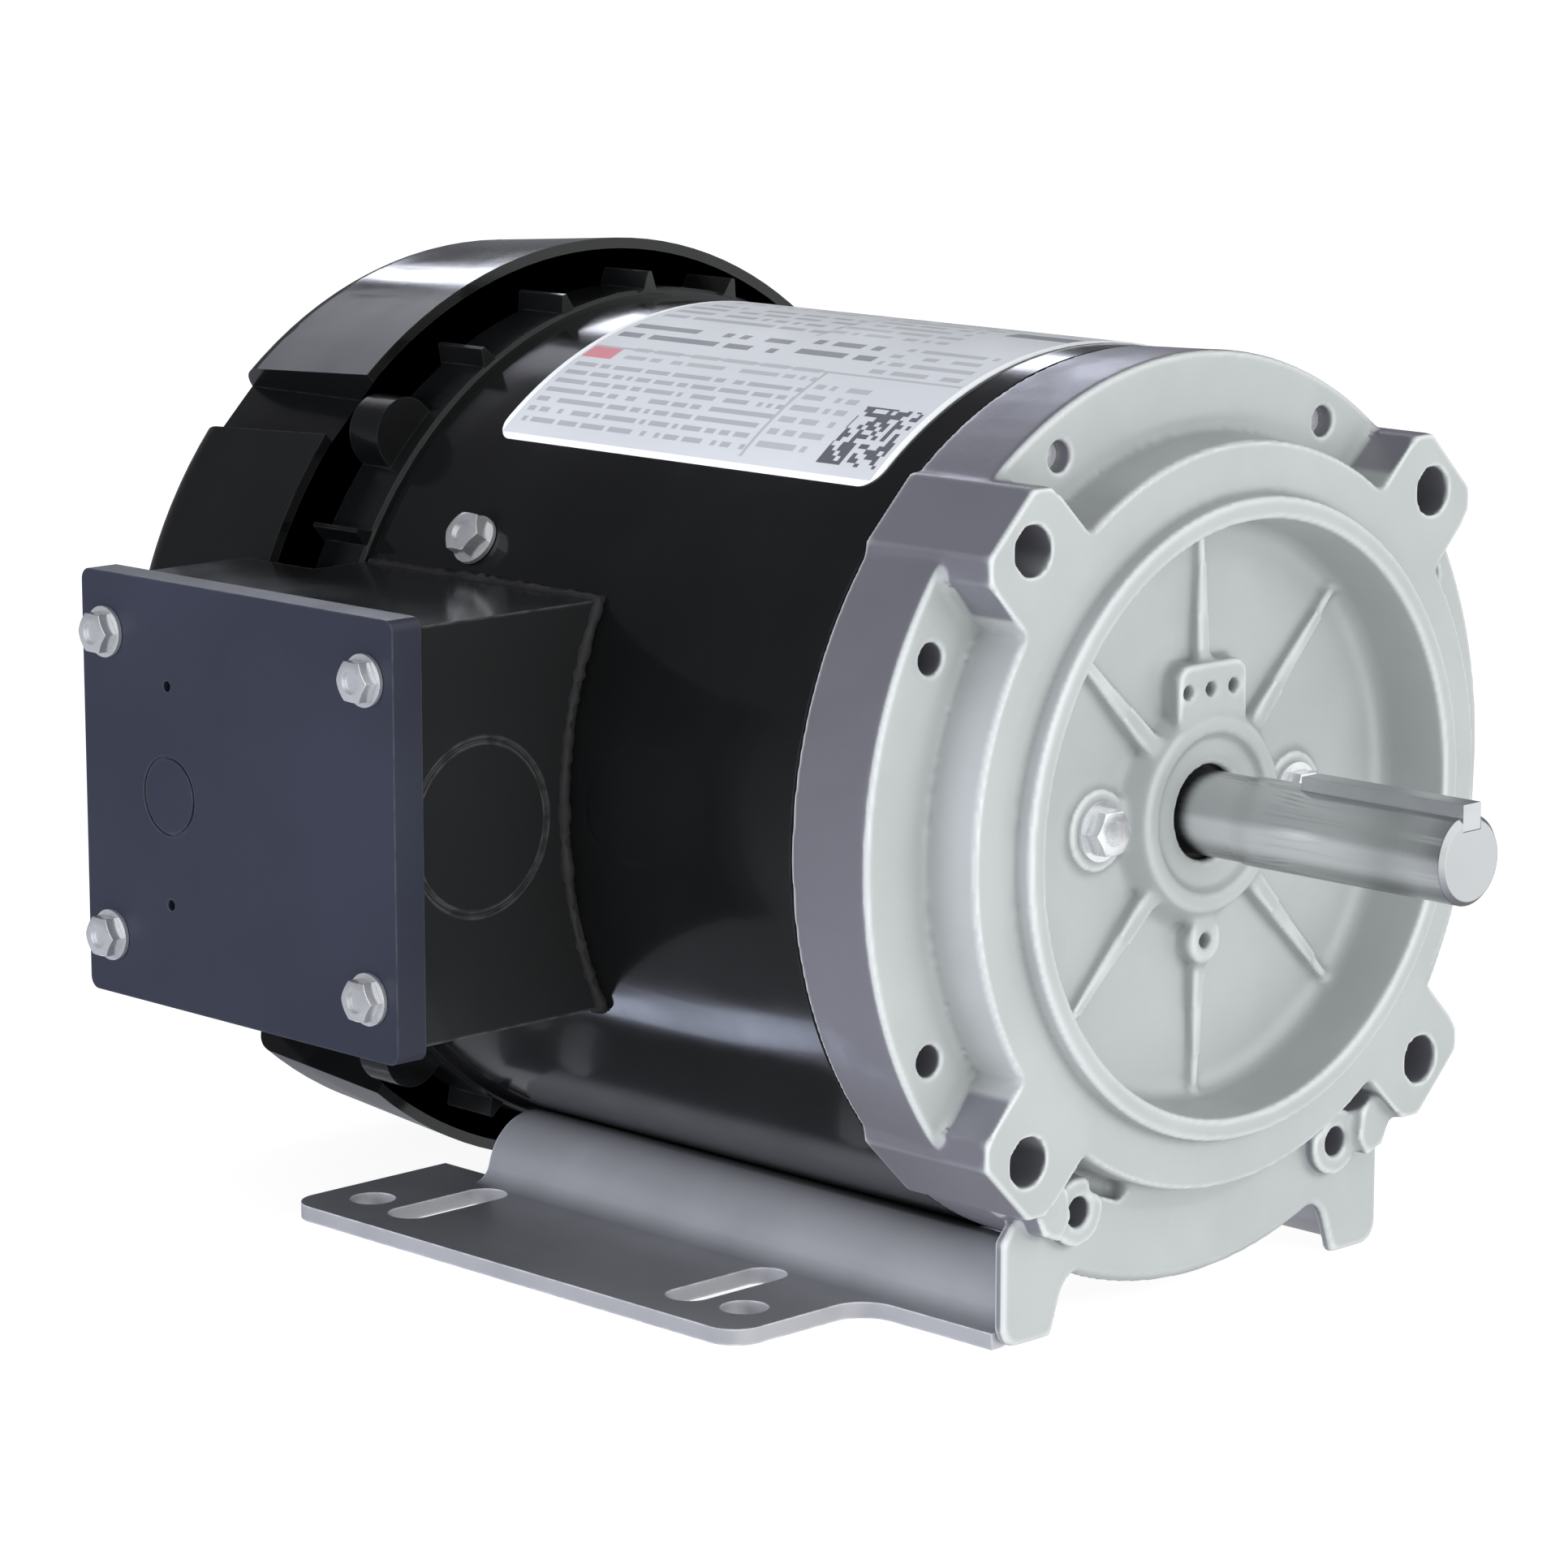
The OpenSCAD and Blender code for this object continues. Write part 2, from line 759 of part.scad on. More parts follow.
// Race drawn about the middle of the bearing, with its ball groove.
module race(outer, inner) {
    rotate_extrude()
        difference() {
            translate([inner, -bearing_w / 2])
                square([outer - inner, bearing_w]);
            translate([ball_pitch_r, 0])
                circle(r = race_groove_r);
        }
}

module at_bearing(z) {
    on_shaft()
        translate([0, 0, z])
            children();
}

module bearing_outer_race(z) {
    color([0.66, 0.67, 0.7])
        at_bearing(z)
            race(bearing_out_r, outer_race_r);
}

module bearing_inner_race(z) {
    color([0.66, 0.67, 0.7])
        at_bearing(z)
            race(inner_race_r, bearing_bore_r);
}

module bearing_balls(z) {
    color([0.8, 0.81, 0.84])
        at_bearing(z)
            for (k = [0:ball_count - 1])
                rotate([0, 0, k * 360 / ball_count])
                    translate([ball_pitch_r, 0, 0])
                        sphere(r = ball_r);
}

module bearing_cage(z) {
    color([0.6, 0.55, 0.42])
        at_bearing(z)
            difference() {
                ring(15.2, 13.3, -4.1, 4.1);
                for (k = [0:ball_count - 1])
                    pointing_out(10, k * 360 / ball_count, 0)
                        cylinder(r = ball_r + 0.08, h = 8);
            }
}

module bearing_shields(z) {
    color([0.5, 0.51, 0.53])
        at_bearing(z)
            for (side = [-1, 1])
                ring(outer_race_r - 0.02, inner_race_r + 0.25, side * 5.1, side * 5.6);
}

module bearing_cap() {
    cap_front = front_bearing_z - bearing_w / 2 - 1 - fit;
    color([0.6, 0.62, 0.63])
        on_shaft()
            difference() {
                union() {
                    ring(31, 11, cap_front - 5, cap_front);
                    ring(19.8, 17, cap_front - 1, cap_front + 0.95);
                }
                for (side = [-1, 1])
                    translate([side * cap_screw_r, 0, 0])
                        rod(bolt_r + thread_gap, cap_front - 6, cap_front + 1);
            }
}

module bearing_cap_screws() {
    color([0.78, 0.79, 0.8])
        on_shaft()
            for (side = [-1, 1])
                translate([side * cap_screw_r, 0, cap_screw_seat + thread_gap])
                    hex_screw(5.4, 4.4, 4, bolt_r, cap_screw_seat - front_bearing_z + bearing_w / 2 + 6);
}

// Ring that preloads the rear bearing; the waves are left flat.
module wave_spring() {
    color([0.5, 0.52, 0.55])
        on_shaft()
            ring(19.6, 16.9, rear_bearing_z - bearing_w / 2 - fit, rear_bearing_z - bearing_w / 2 - 2.3);
}

// Four long bolts: the heads are at the fan end and the threads in the drive-end shield.
module tie_bolts() {
    color([0.76, 0.77, 0.79])
        on_shaft()
            at_ties()
                translate([0, 0, rear_face - thread_gap])
                    rotate([180, 0, 0])
                        hex_screw(5, 4.3, 3.8, bolt_r, ring_face - 3 - rear_face);
}

// ---------- base ----------

module base_screw_places(radius) {
    for (z = base_screw_z, angle = [258, 282])
        pointing_out(radius, angle, z)
            children();
}

module base_screws() {
    color([0.7, 0.71, 0.73])
        on_shaft()
            base_screw_places(saddle_r + base_sheet + 0.1)
                hex_screw(4.6, 3.9, 3, bolt_r, base_sheet + 2.4);
}

// Ring segment about a point, kept between two directions less than 180 degrees apart.
module bend(radius, thickness, from, to) {
    far = 2 * (radius + thickness);
    intersection() {
        difference() {
            circle(r = radius + thickness);
            circle(r = radius);
        }
        polygon([
            [0, 0], far * [cos(from), sin(from)],
            far * [cos((from + to) / 2), sin((from + to) / 2)], far * [cos(to), sin(to)]
        ]);
    }
}

// Cross-section of one half of the base sheet: foot, hollow fillet, curl and saddle.
module base_section() {
    overlap = 0.3;         // degrees by which neighbouring bends share their ends
    translate([toe_x - 0.05, -shaft_height])
        square([base_width / 2 - toe_x + 0.05, base_sheet]);
    translate([toe_x, toe_y])
        bend(toe_r, base_sheet, 180 + toe_tilt - overlap, 270);
    translate([base_root_x, curl_y])
        bend(curl_r - base_sheet, base_sheet, toe_tilt - overlap, 90 + curl_tilt + overlap);
    bend(saddle_r, base_sheet, 270 - overlap, 270 + curl_tilt);
}

// Plan of the foot and riser, x across the motor and y along the shaft.
module base_plan() {
    foot_half = base_width / 2;
    corner = 6;
    hollow = 7;
    // wide foot with round corners
    translate([0, (foot_front + foot_rear) / 2])
        round_rect(2 * foot_half, foot_front - foot_rear, corner);
    // narrow part that runs forward to the legs
    difference() {
        translate([-leg_outer - hollow, foot_front - corner])
            square([2 * (leg_outer + hollow), leg_back - leg_gap - foot_front + corner]);
        for (side = [-1, 1]) {
            translate([side * (leg_outer + hollow), foot_front + hollow])
                circle(r = hollow);
            translate([side * (leg_outer + hollow) - hollow, foot_front + hollow])
                square([2 * hollow, 60]);
        }
    }
}

module base() {
    color([0.5, 0.51, 0.54])
        on_shaft()
            difference() {
                intersection() {
                    translate([0, 0, foot_rear])
                        linear_extrude(height = leg_back - foot_rear)
                            for (side = [0, 1])
                                mirror([side, 0])
                                    base_section();
                    translate([0, 1, 0])
                        rotate([90, 0, 0])
                            linear_extrude(height = shaft_height + 1)
                                base_plan();
                }
                // the saddle and riser stop short of the rear shield, and clear the flange in front
                translate([-toe_x, foot_top + 0.001, foot_rear - 1])
                    cube([2 * toe_x, 60, saddle_rear - foot_rear + 1]);
                translate([-base_root_x - 6, -shaft_height - 1, foot_rear - 1])
                    cube([2 * base_root_x + 12, 60, saddle_rear - foot_rear + 1]);
                translate([0, 0, -frame_front - 1])
                    cylinder(r1 = flange_r - 0.55, r2 = flange_r + 0.35, h = leg_front + frame_front + 1);
                translate([-28, -shaft_height - 1, -frame_front - 1])
                    cube([56, 60, 60]);
                for (side = [-1, 1], z = [slot_front, slot_front - slot_along])
                    translate([side * slot_across / 2, -shaft_height - 5, z])
                        rotate([-90, 0, 0])
                            linear_extrude(height = 12)
                                foot_slot();
                for (side = [-1, 1], z = [hole_front, hole_front - hole_along])
                    translate([side * hole_across / 2, -shaft_height - 5, z])
                        rotate([-90, 0, 0])
                            cylinder(r = foot_hole_d / 2, h = 12);
                base_screw_places(frame_r - 1)
                    cylinder(r = 2.7, h = 20);
            }
}

module foot_slot() {
    half = (slot_length - foot_hole_d) / 2;
    square([2 * half, foot_hole_d], center = true);
    for (side = [-1, 1])
        translate([side * half, 0])
            circle(r = foot_hole_d / 2);
}

// ---------- terminal box ----------

// Places a child at each box screw, on the curved back of the box.
module box_screw_places(radius) {
    for (z = box_screw_z, angle = [180 - box_screw_tilt, 180 + box_screw_tilt])
        pointing_out(radius, angle, z)
            children();
}

module frame_screw_place(radius) {
    pointing_out(radius, 147.7, -124)
        children();
}

// Block that reaches from the shaft axis out to a distance on the box side.
module box_block(reach, margin) {
    translate([-reach, -box_half - margin, box_rear - margin])
        cube([reach - 20, 2 * (box_half + margin), box_front - box_rear + 2 * margin]);
}

// Everything the back of the box has to stay clear of: the tube, then the wider fan cover.
module box_saddle(extra) {
    rod(box_seat_r + extra, box_step_z - extra, 0);
    rod(box_step_r + extra, fan_back - 20, box_step_z + extra);
}

module terminal_box() {
    lug = 6;
    color([0.04, 0.04, 0.045])
        on_shaft()
            difference() {
                union() {
                    difference() {
                        box_block(box_lip, 0);
                        difference() {
                            box_block(box_lip + 1, -box_wall);
                            box_saddle(box_wall);
                        }
                        box_saddle(0);
                    }
                    for (z = cover_screw_z, side = [-1, 1]) {
                        wall_z = z > box_mid ? box_front - 0.5 : box_rear + 0.5;
                        translate([-box_lip, min(side * (cover_screw_y - lug), side * (box_half - 0.5)),
                                   min(wall_z, z + (z > box_mid ? -lug : lug))])
                            cube([2, box_half - 0.5 - cover_screw_y + lug,
                                  abs(wall_z - z) + lug]);
                    }
                }
                for (z = cover_screw_z, side = [-1, 1])
                    translate([-box_lip - 1, side * cover_screw_y, z])
                        rotate([0, 90, 0])
                            cylinder(r = 2 + thread_gap, h = 6);
                box_screw_places(frame_r)
                    cylinder(r = 2.7, h = 10);
                pointing_out(frame_r - 2, 180, lead_z)
                    cylinder(r = lead_hole_r, h = 8);
                // ring that marks the side knock-out
                translate([-100.8, 0, box_front - 0.5])
                    ring(15.9, 15, 0, 1);
            }
}

module box_cover() {
    front = -cover_front;
    rear = -cover_front - cover_length;
    mid = (front + rear) / 2;
    color([0.16, 0.18, 0.24])
        on_shaft()
            difference() {
                translate([-cover_reach, 0, mid])
                    rotate([0, 90, 0])
                        linear_extrude(height = cover_depth)
                            round_rect(cover_length, cover_height, 2.2);
                translate([-cover_reach + cover_sheet, 0, mid])
                    rotate([0, 90, 0])
                        linear_extrude(height = cover_depth)
                            round_rect(cover_length - 2 * cover_sheet, cover_height - 2 * cover_sheet, 0.9);
                for (z = cover_screw_z, side = [-1, 1])
                    translate([-cover_reach - 1, side * cover_screw_y, z])
                        rotate([0, 90, 0])
                            cylinder(r = 2.3, h = 6);
                for (side = [-1, 1])
                    translate([-cover_reach - 1, side * 20, cover_mark_z])
                        rotate([0, 90, 0])
                            cylinder(r = 1, h = 6);
                translate([-cover_reach - 0.5, 0, cover_mark_z])
                    rotate([0, 90, 0])
                        ring(7.3, 6.8, 0, 0.9);
            }
}

module box_cover_screws() {
    color([0.8, 0.81, 0.83])
        on_shaft()
            for (z = cover_screw_z, side = [-1, 1])
                translate([-cover_reach - thread_gap, side * cover_screw_y, z])
                    rotate([0, -90, 0])
                        hex_screw(4.7, 4, 3.6, 2, 6.4);
}

module box_gasket() {
    color([0.06, 0.06, 0.06])
        on_shaft()
            intersection() {
                ring(box_seat_r - fit, gasket_r, box_step_z + 0.4, 0);
                difference() {
                    box_block(100, 0.6);
                    translate([-101, -box_half + 12, box_rear])
                        cube([60, 2 * box_half - 24, box_front - box_rear - 6]);
                    box_screw_places(frame_r - 5)
                        cylinder(r = 3, h = 12);
                }
            }
}

module cover_gasket() {
    width = 8;
    color([0.07, 0.07, 0.07])
        on_shaft()
            translate([-box_lip - 1, 0, 0])
                difference() {
                    translate([0, -box_half, box_rear])
                        cube([0.95, 2 * box_half, box_front - box_rear]);
                    translate([-1, -box_half + width, box_rear + width])
                        cube([3, 2 * (box_half - width), box_front - box_rear - 2 * width]);
                    for (z = cover_screw_z, side = [-1, 1])
                        translate([-1, side * cover_screw_y, z])
                            rotate([0, 90, 0])
                                cylinder(r = 2.3, h = 4);
                }
}

module box_screws() {
    color([0.75, 0.76, 0.78])
        on_shaft()
            box_screw_places(box_seat_r + box_wall + 0.12)
                hex_screw(4.4, 3.7, 3, bolt_r, 5.2);
}

module frame_screw() {
    color([0.8, 0.81, 0.83])
        on_shaft()
            frame_screw_place(frame_r + 0.15)
                hex_screw(4.7, 4.2, 4.4, bolt_r, 2.5);
}

module terminal_board() {
    color([0.5, 0.42, 0.3])
        on_shaft()
            difference() {
                union() {
                    translate([-104, -13, -125])
                        cube([4, 26, 33]);
                    for (z = [-97, -117.5])
                        translate([-100.5, 0, z])
                            rotate([0, 90, 0])
                                cylinder(r = 3.4, h = 17);
                }
                for (z = [-100, -108.5, -117], side = [-1, 1])
                    translate([-105, side * 8, z])
                        rotate([0, 90, 0])
                            cylinder(r = 2.02, h = 8);
            }
}

module terminal_studs() {
    color([0.8, 0.65, 0.3])
        on_shaft()
            for (z = [-100, -108.5, -117], side = [-1, 1])
                translate([-104 - thread_gap, side * 8, z])
                    rotate([0, -90, 0]) {
                        cylinder(r = 3.7, h = 3.2, $fn = 6);
                        translate([0, 0, -3.9])
                            cylinder(r = 2, h = 12);
                    }
}

// One lead: straight out through the grommet, round a quarter bend and along the board.
module lead_wire(wire_r, bend_r, turn_reach) {
    start = 69.5;
    translate([-start, 0, lead_z])
        rotate([0, -90, 0])
            cylinder(r = wire_r, h = turn_reach - start);
    translate([-turn_reach, 0, lead_z + bend_r])
        rotate([-90, 0, 0])
            rotate([0, 0, 90])
                rotate_extrude(angle = 90)
                    translate([bend_r, 0])
                        circle(r = wire_r);
    translate([-turn_reach - bend_r, 0, lead_z + bend_r])
        cylinder(r = wire_r, h = 2.5);
}

module lead_wires() {
    color([0.75, 0.72, 0.3])
        on_shaft()
            for (k = [-1:1])
                translate([0, k * 3.6, 0])
                    lead_wire(1.3, 9, 99.5);
}

module lead_grommet() {
    tube_r = lead_hole_r - fit;
    inner_r = box_seat_r + box_wall;
    color([0.05, 0.05, 0.05])
        on_shaft()
            difference() {
                union() {
                    pointing_out(frame_in - 1.5, 180, lead_z)
                        cylinder(r = tube_r, h = 8.5);
                    intersection() {
                        ring(inner_r + 1.5, inner_r + fit, lead_z - 20, lead_z + 20);
                        pointing_out(60, 180, lead_z)
                            cylinder(r = tube_r + 2, h = 40);
                    }
                }
                pointing_out(60, 180, lead_z)
                    cylinder(r = 6.4, h = 60);
            }
}

module nameplate() {
    plate_front = -37;
    plate_rear = -135;
    middle_angle = 97.5;
    half_angle = 34.5;
    color([0.82, 0.83, 0.85])
        on_shaft()
            intersection() {
                ring(frame_r + 0.35, frame_r + 0.02, plate_rear - 1, plate_front + 1);
                rotate([0, 0, middle_angle])
                    translate([20, 0, (plate_front + plate_rear) / 2])
                        rotate([0, 90, 0])
                            linear_extrude(height = 80)
                                round_rect(plate_front - plate_rear, 2 * frame_r * sin(half_angle), 4);
            }
}

frame_shell();
front_endshield();
rear_endshield();
fan_cover();
fan_cover_screws();
cooling_fan();
fan_clip();
shaft();
shaft_key();
shaft_slinger();
rotor_core();
rotor_cage();
stator_core();
stator_windings();
bearing_outer_race(front_bearing_z);  // front_bearing_outer_race
bearing_inner_race(front_bearing_z);  // front_bearing_inner_race
bearing_balls(front_bearing_z);  // front_bearing_balls
bearing_cage(front_bearing_z);  // front_bearing_cage
bearing_shields(front_bearing_z);  // front_bearing_shields
bearing_outer_race(rear_bearing_z);  // rear_bearing_outer_race
bearing_inner_race(rear_bearing_z);  // rear_bearing_inner_race
bearing_balls(rear_bearing_z);  // rear_bearing_balls
bearing_cage(rear_bearing_z);  // rear_bearing_cage
bearing_shields(rear_bearing_z);  // rear_bearing_shields
bearing_cap();
bearing_cap_screws();
wave_spring();
tie_bolts();
base();
base_screws();
terminal_box();
box_cover();
box_cover_screws();
box_gasket();
cover_gasket();
box_screws();
frame_screw();
terminal_board();
terminal_studs();
lead_wires();
lead_grommet();
nameplate();
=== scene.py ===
"""Looks of a face-mounted, fan-cooled electric motor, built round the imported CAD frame.

Metres, +Z up. The shaft lies on the Y axis, drive end towards -Y. The terminal box is on the -X side.
"""

import json
import math
import random

import bpy
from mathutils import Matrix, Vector


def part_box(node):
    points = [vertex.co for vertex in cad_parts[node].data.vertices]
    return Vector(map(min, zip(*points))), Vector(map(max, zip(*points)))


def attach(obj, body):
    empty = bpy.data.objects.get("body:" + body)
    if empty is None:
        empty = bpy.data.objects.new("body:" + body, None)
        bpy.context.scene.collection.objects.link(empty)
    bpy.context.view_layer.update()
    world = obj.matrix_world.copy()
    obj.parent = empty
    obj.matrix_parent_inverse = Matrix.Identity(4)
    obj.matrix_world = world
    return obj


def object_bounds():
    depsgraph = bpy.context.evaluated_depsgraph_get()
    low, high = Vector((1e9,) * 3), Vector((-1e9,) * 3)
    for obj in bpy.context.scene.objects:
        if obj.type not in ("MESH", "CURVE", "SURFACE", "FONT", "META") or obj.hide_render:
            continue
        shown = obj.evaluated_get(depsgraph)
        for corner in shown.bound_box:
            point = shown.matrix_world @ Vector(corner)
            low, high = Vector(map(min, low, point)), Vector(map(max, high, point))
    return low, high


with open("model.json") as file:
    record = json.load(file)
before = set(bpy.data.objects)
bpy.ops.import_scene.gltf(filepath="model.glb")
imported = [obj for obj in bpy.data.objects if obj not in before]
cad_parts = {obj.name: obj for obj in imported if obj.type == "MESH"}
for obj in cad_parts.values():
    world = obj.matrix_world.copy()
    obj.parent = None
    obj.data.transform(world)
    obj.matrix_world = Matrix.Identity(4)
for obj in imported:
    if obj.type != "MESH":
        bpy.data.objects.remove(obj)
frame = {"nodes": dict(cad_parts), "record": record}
cad_low, cad_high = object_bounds()

MM = 0.001
SCENE = bpy.context.scene
NODES = frame["nodes"]


# ---------- small helpers for building node trees ----------

def add(tree, kind, inputs=None, **props):
    """A new node with its properties set and its inputs set or linked, by name or by number."""
    node = tree.nodes.new(kind)
    for key, value in props.items():
        setattr(node, key, value)
    for key, value in (inputs or {}).items():
        feed(tree, node.inputs[key], value)
    return node


def feed(tree, socket, value):
    """Links a socket to an input, or sets the input to a plain value."""
    if isinstance(value, bpy.types.NodeSocket):
        tree.links.new(value, socket)
    else:
        socket.default_value = value


def calc(tree, operation, a, b=0.0, clamp=False):
    """One step of arithmetic."""
    node = add(tree, "ShaderNodeMath", {0: a, 1: b}, operation=operation, use_clamp=clamp)
    return node.outputs[0]


def times(tree, a, b):
    return calc(tree, "MULTIPLY", a, b)


def ramp(tree, value, low, high, to_low=0.0, to_high=1.0):
    """Value mapped smoothly from low..high to to_low..to_high."""
    node = add(tree, "ShaderNodeMapRange",
               {"Value": value, "From Min": low, "From Max": high, "To Min": to_low, "To Max": to_high},
               interpolation_type="SMOOTHSTEP")
    return node.outputs[0]


def share(tree, value, start, end):
    """How far value has gone from start to end, as 0..1, running on past both."""
    node = add(tree, "ShaderNodeMapRange", {"Value": value, "From Min": start, "From Max": end}, clamp=False)
    return node.outputs[0]


def blend(tree, factor, a, b, mode="MIX"):
    """Colour a with colour b laid over it by the factor. Each is a socket or a plain (r, g, b)."""
    node = add(tree, "ShaderNodeMix", data_type="RGBA", blend_type=mode)
    feed(tree, node.inputs[0], factor)
    feed(tree, node.inputs[6], a if isinstance(a, bpy.types.NodeSocket) else (*a, 1.0))
    feed(tree, node.inputs[7], b if isinstance(b, bpy.types.NodeSocket) else (*b, 1.0))
    return node.outputs[2]


def within(tree, value, low, high):
    """1 where value lies between low and high, else 0."""
    return times(tree, calc(tree, "GREATER_THAN", value, low), calc(tree, "LESS_THAN", value, high))


def random_cell(tree, *place):
    """A fixed random number, 0 to 1, for each cell, whose place is two or three whole numbers."""
    cell = add(tree, "ShaderNodeCombineXYZ", dict(enumerate(place))).outputs[0]
    return add(tree, "ShaderNodeTexWhiteNoise", {"Vector": cell}, noise_dimensions="3D").outputs[0]


def world_normal(tree):
    """The surface's direction as separate X, Y and Z outputs."""
    normal = add(tree, "ShaderNodeNewGeometry").outputs["Normal"]
    return add(tree, "ShaderNodeSeparateXYZ", {0: normal}).outputs


class Finish:
    """A procedural material: a Principled surface whose colour, roughness and relief wander over the part."""

    def __init__(self, name, colour, metallic=0.0, rough=0.4, coat=0.0, specular=0.5):
        self.material = bpy.data.materials.new(name)
        self.material.use_nodes = True
        self.tree = self.material.node_tree
        self.tree.nodes.clear()
        self.position = add(self.tree, "ShaderNodeTexCoord").outputs["Object"]
        self.shader = add(self.tree, "ShaderNodeBsdfPrincipled",
                          {"Metallic": metallic, "Coat Weight": coat, "Coat Roughness": COAT_ROUGHNESS,
                           "Specular IOR Level": specular})
        output = add(self.tree, "ShaderNodeOutputMaterial", {"Surface": self.shader.outputs[0]})
        output.is_active_output = True
        self.colour = colour
        self.rough = rough
        self.height = None
        self.parts = None

    def axis(self, name):
        """One coordinate of the position, in metres."""
        if self.parts is None:
            self.parts = add(self.tree, "ShaderNodeSeparateXYZ", {0: self.position})
        return self.parts.outputs[name]

    def radius(self):
        """Distance from the shaft's axis."""
        square = calc(self.tree, "ADD", calc(self.tree, "POWER", self.axis("X"), 2.0),
                      calc(self.tree, "POWER", self.axis("Z"), 2.0))
        return calc(self.tree, "SQRT", square)

    def noise(self, scale, detail=3.0, stretch=(1, 1, 1), vector=None):
        """Noise with about `scale` features a metre, drawn out along an axis by a small stretch number."""
        spot = add(self.tree, "ShaderNodeVectorMath", {0: vector or self.position, 1: stretch},
                   operation="MULTIPLY")
        return add(self.tree, "ShaderNodeTexNoise",
                   {"Vector": spot.outputs[0], "Scale": scale, "Detail": detail}).outputs[0]

    def around(self):
        """Coordinates for turned marks: along the shaft, out from it, and nothing round it."""
        return add(self.tree, "ShaderNodeCombineXYZ", {0: self.axis("Y"), 1: self.radius()}).outputs[0]

    def tint(self, factor, colour, mode="MIX"):
        self.colour = blend(self.tree, factor, self.colour, colour, mode)
        return self

    def mottle(self, amount, scale=30):
        """Slow change of tone over the part."""
        tone = ramp(self.tree, self.noise(scale, 4), 0.3, 0.7, 1 - amount, 1 + amount)
        grey = add(self.tree, "ShaderNodeCombineColor", {0: tone, 1: tone, 2: tone}).outputs[0]
        return self.tint(1.0, grey, "MULTIPLY")

    def smudge(self, amount, scale=45, stretch=(1, 1, 1)):
        """Slow change of roughness."""
        wander = ramp(self.tree, self.noise(scale, 5, stretch), 0.35, 0.65, -amount, amount)
        self.rough = calc(self.tree, "ADD", self.rough, wander, clamp=True)
        return self

    def relief(self, scale, depth_mm, stretch=(1, 1, 1), detail=2.0, vector=None):
        """Raised grain of the given depth."""
        rise = times(self.tree, self.noise(scale, detail, stretch, vector), depth_mm * MM)
        self.height = rise if self.height is None else calc(self.tree, "ADD", self.height, rise)
        return self

    def edge_wear_and_sheen(self, colour, amount=0.5, width_mm=0.5):
        """Another colour, patchily, along edges and the rims of holes and grooves: wear on most finishes, a
        painted highlight on the box's paint.
        """
        soft = add(self.tree, "ShaderNodeBevel", {"Radius": width_mm * MM}, samples=4)
        plain = add(self.tree, "ShaderNodeNewGeometry")
        same = add(self.tree, "ShaderNodeVectorMath", {0: soft.outputs[0], 1: plain.outputs["Normal"]},
                   operation="DOT_PRODUCT").outputs["Value"]
        edge = ramp(self.tree, same, 0.995, 0.9, 0.0, 1.0)
        patchy = ramp(self.tree, self.noise(300, 4), 0.35, 0.6, 0.3, 1.0)
        factor = times(self.tree, times(self.tree, edge, patchy), amount)
        return self.tint(factor, colour)

    def done(self):
        feed(self.tree, self.shader.inputs["Base Color"], self.colour)
        feed(self.tree, self.shader.inputs["Roughness"], self.rough)
        if self.height is not None:
            bump = add(self.tree, "ShaderNodeBump", {"Strength": 1.0, "Distance": 1.0, "Height": self.height})
            feed(self.tree, self.shader.inputs["Normal"], bump.outputs[0])
        return self.material


# ---------- materials ----------

COAT_ROUGHNESS = 0.08
RIM_INSIDE, RIM_OUTSIDE = 0.0695, 0.0715


def gloss_black(name, rough, grain_mm):
    """Black paint or moulding with a soft gloss and a fine grain."""
    black = Finish(name, (0.0045, 0.0048, 0.005), rough=rough, coat=0.25, specular=0.32)
    black.mottle(0.25, 22).smudge(0.05, 35).relief(700, grain_mm).relief(120, grain_mm * 2)
    return black.edge_wear_and_sheen((0.05, 0.052, 0.056), 0.35)


def make_black_paint():
    return gloss_black("black_paint", 0.16, 0.004).done()


def make_black_casting():
    return gloss_black("black_casting", 0.24, 0.02).relief(900, 0.02, detail=4).done()


def make_black_moulding():
    return gloss_black("black_moulding", 0.17, 0.005).relief(2500, 0.006, detail=4).done()


def make_box_paint():
    box = gloss_black("box_paint", 0.2, 0.006).tint(0.3, (0.034, 0.035, 0.036))
    # Painted highlight: a lighter grey along the box's edges and the rim of its knock-out groove.
    return box.edge_wear_and_sheen((0.16, 0.162, 0.165), 0.5, 0.9).done()


def make_cover_paint():
    slate = Finish("cover_paint", (0.022, 0.025, 0.039), rough=0.38, specular=0.3)
    slate.mottle(0.1, 18).smudge(0.07, 30).relief(1100, 0.008, detail=4).relief(160, 0.01)
    return slate.edge_wear_and_sheen((0.1, 0.105, 0.125), 0.5).done()


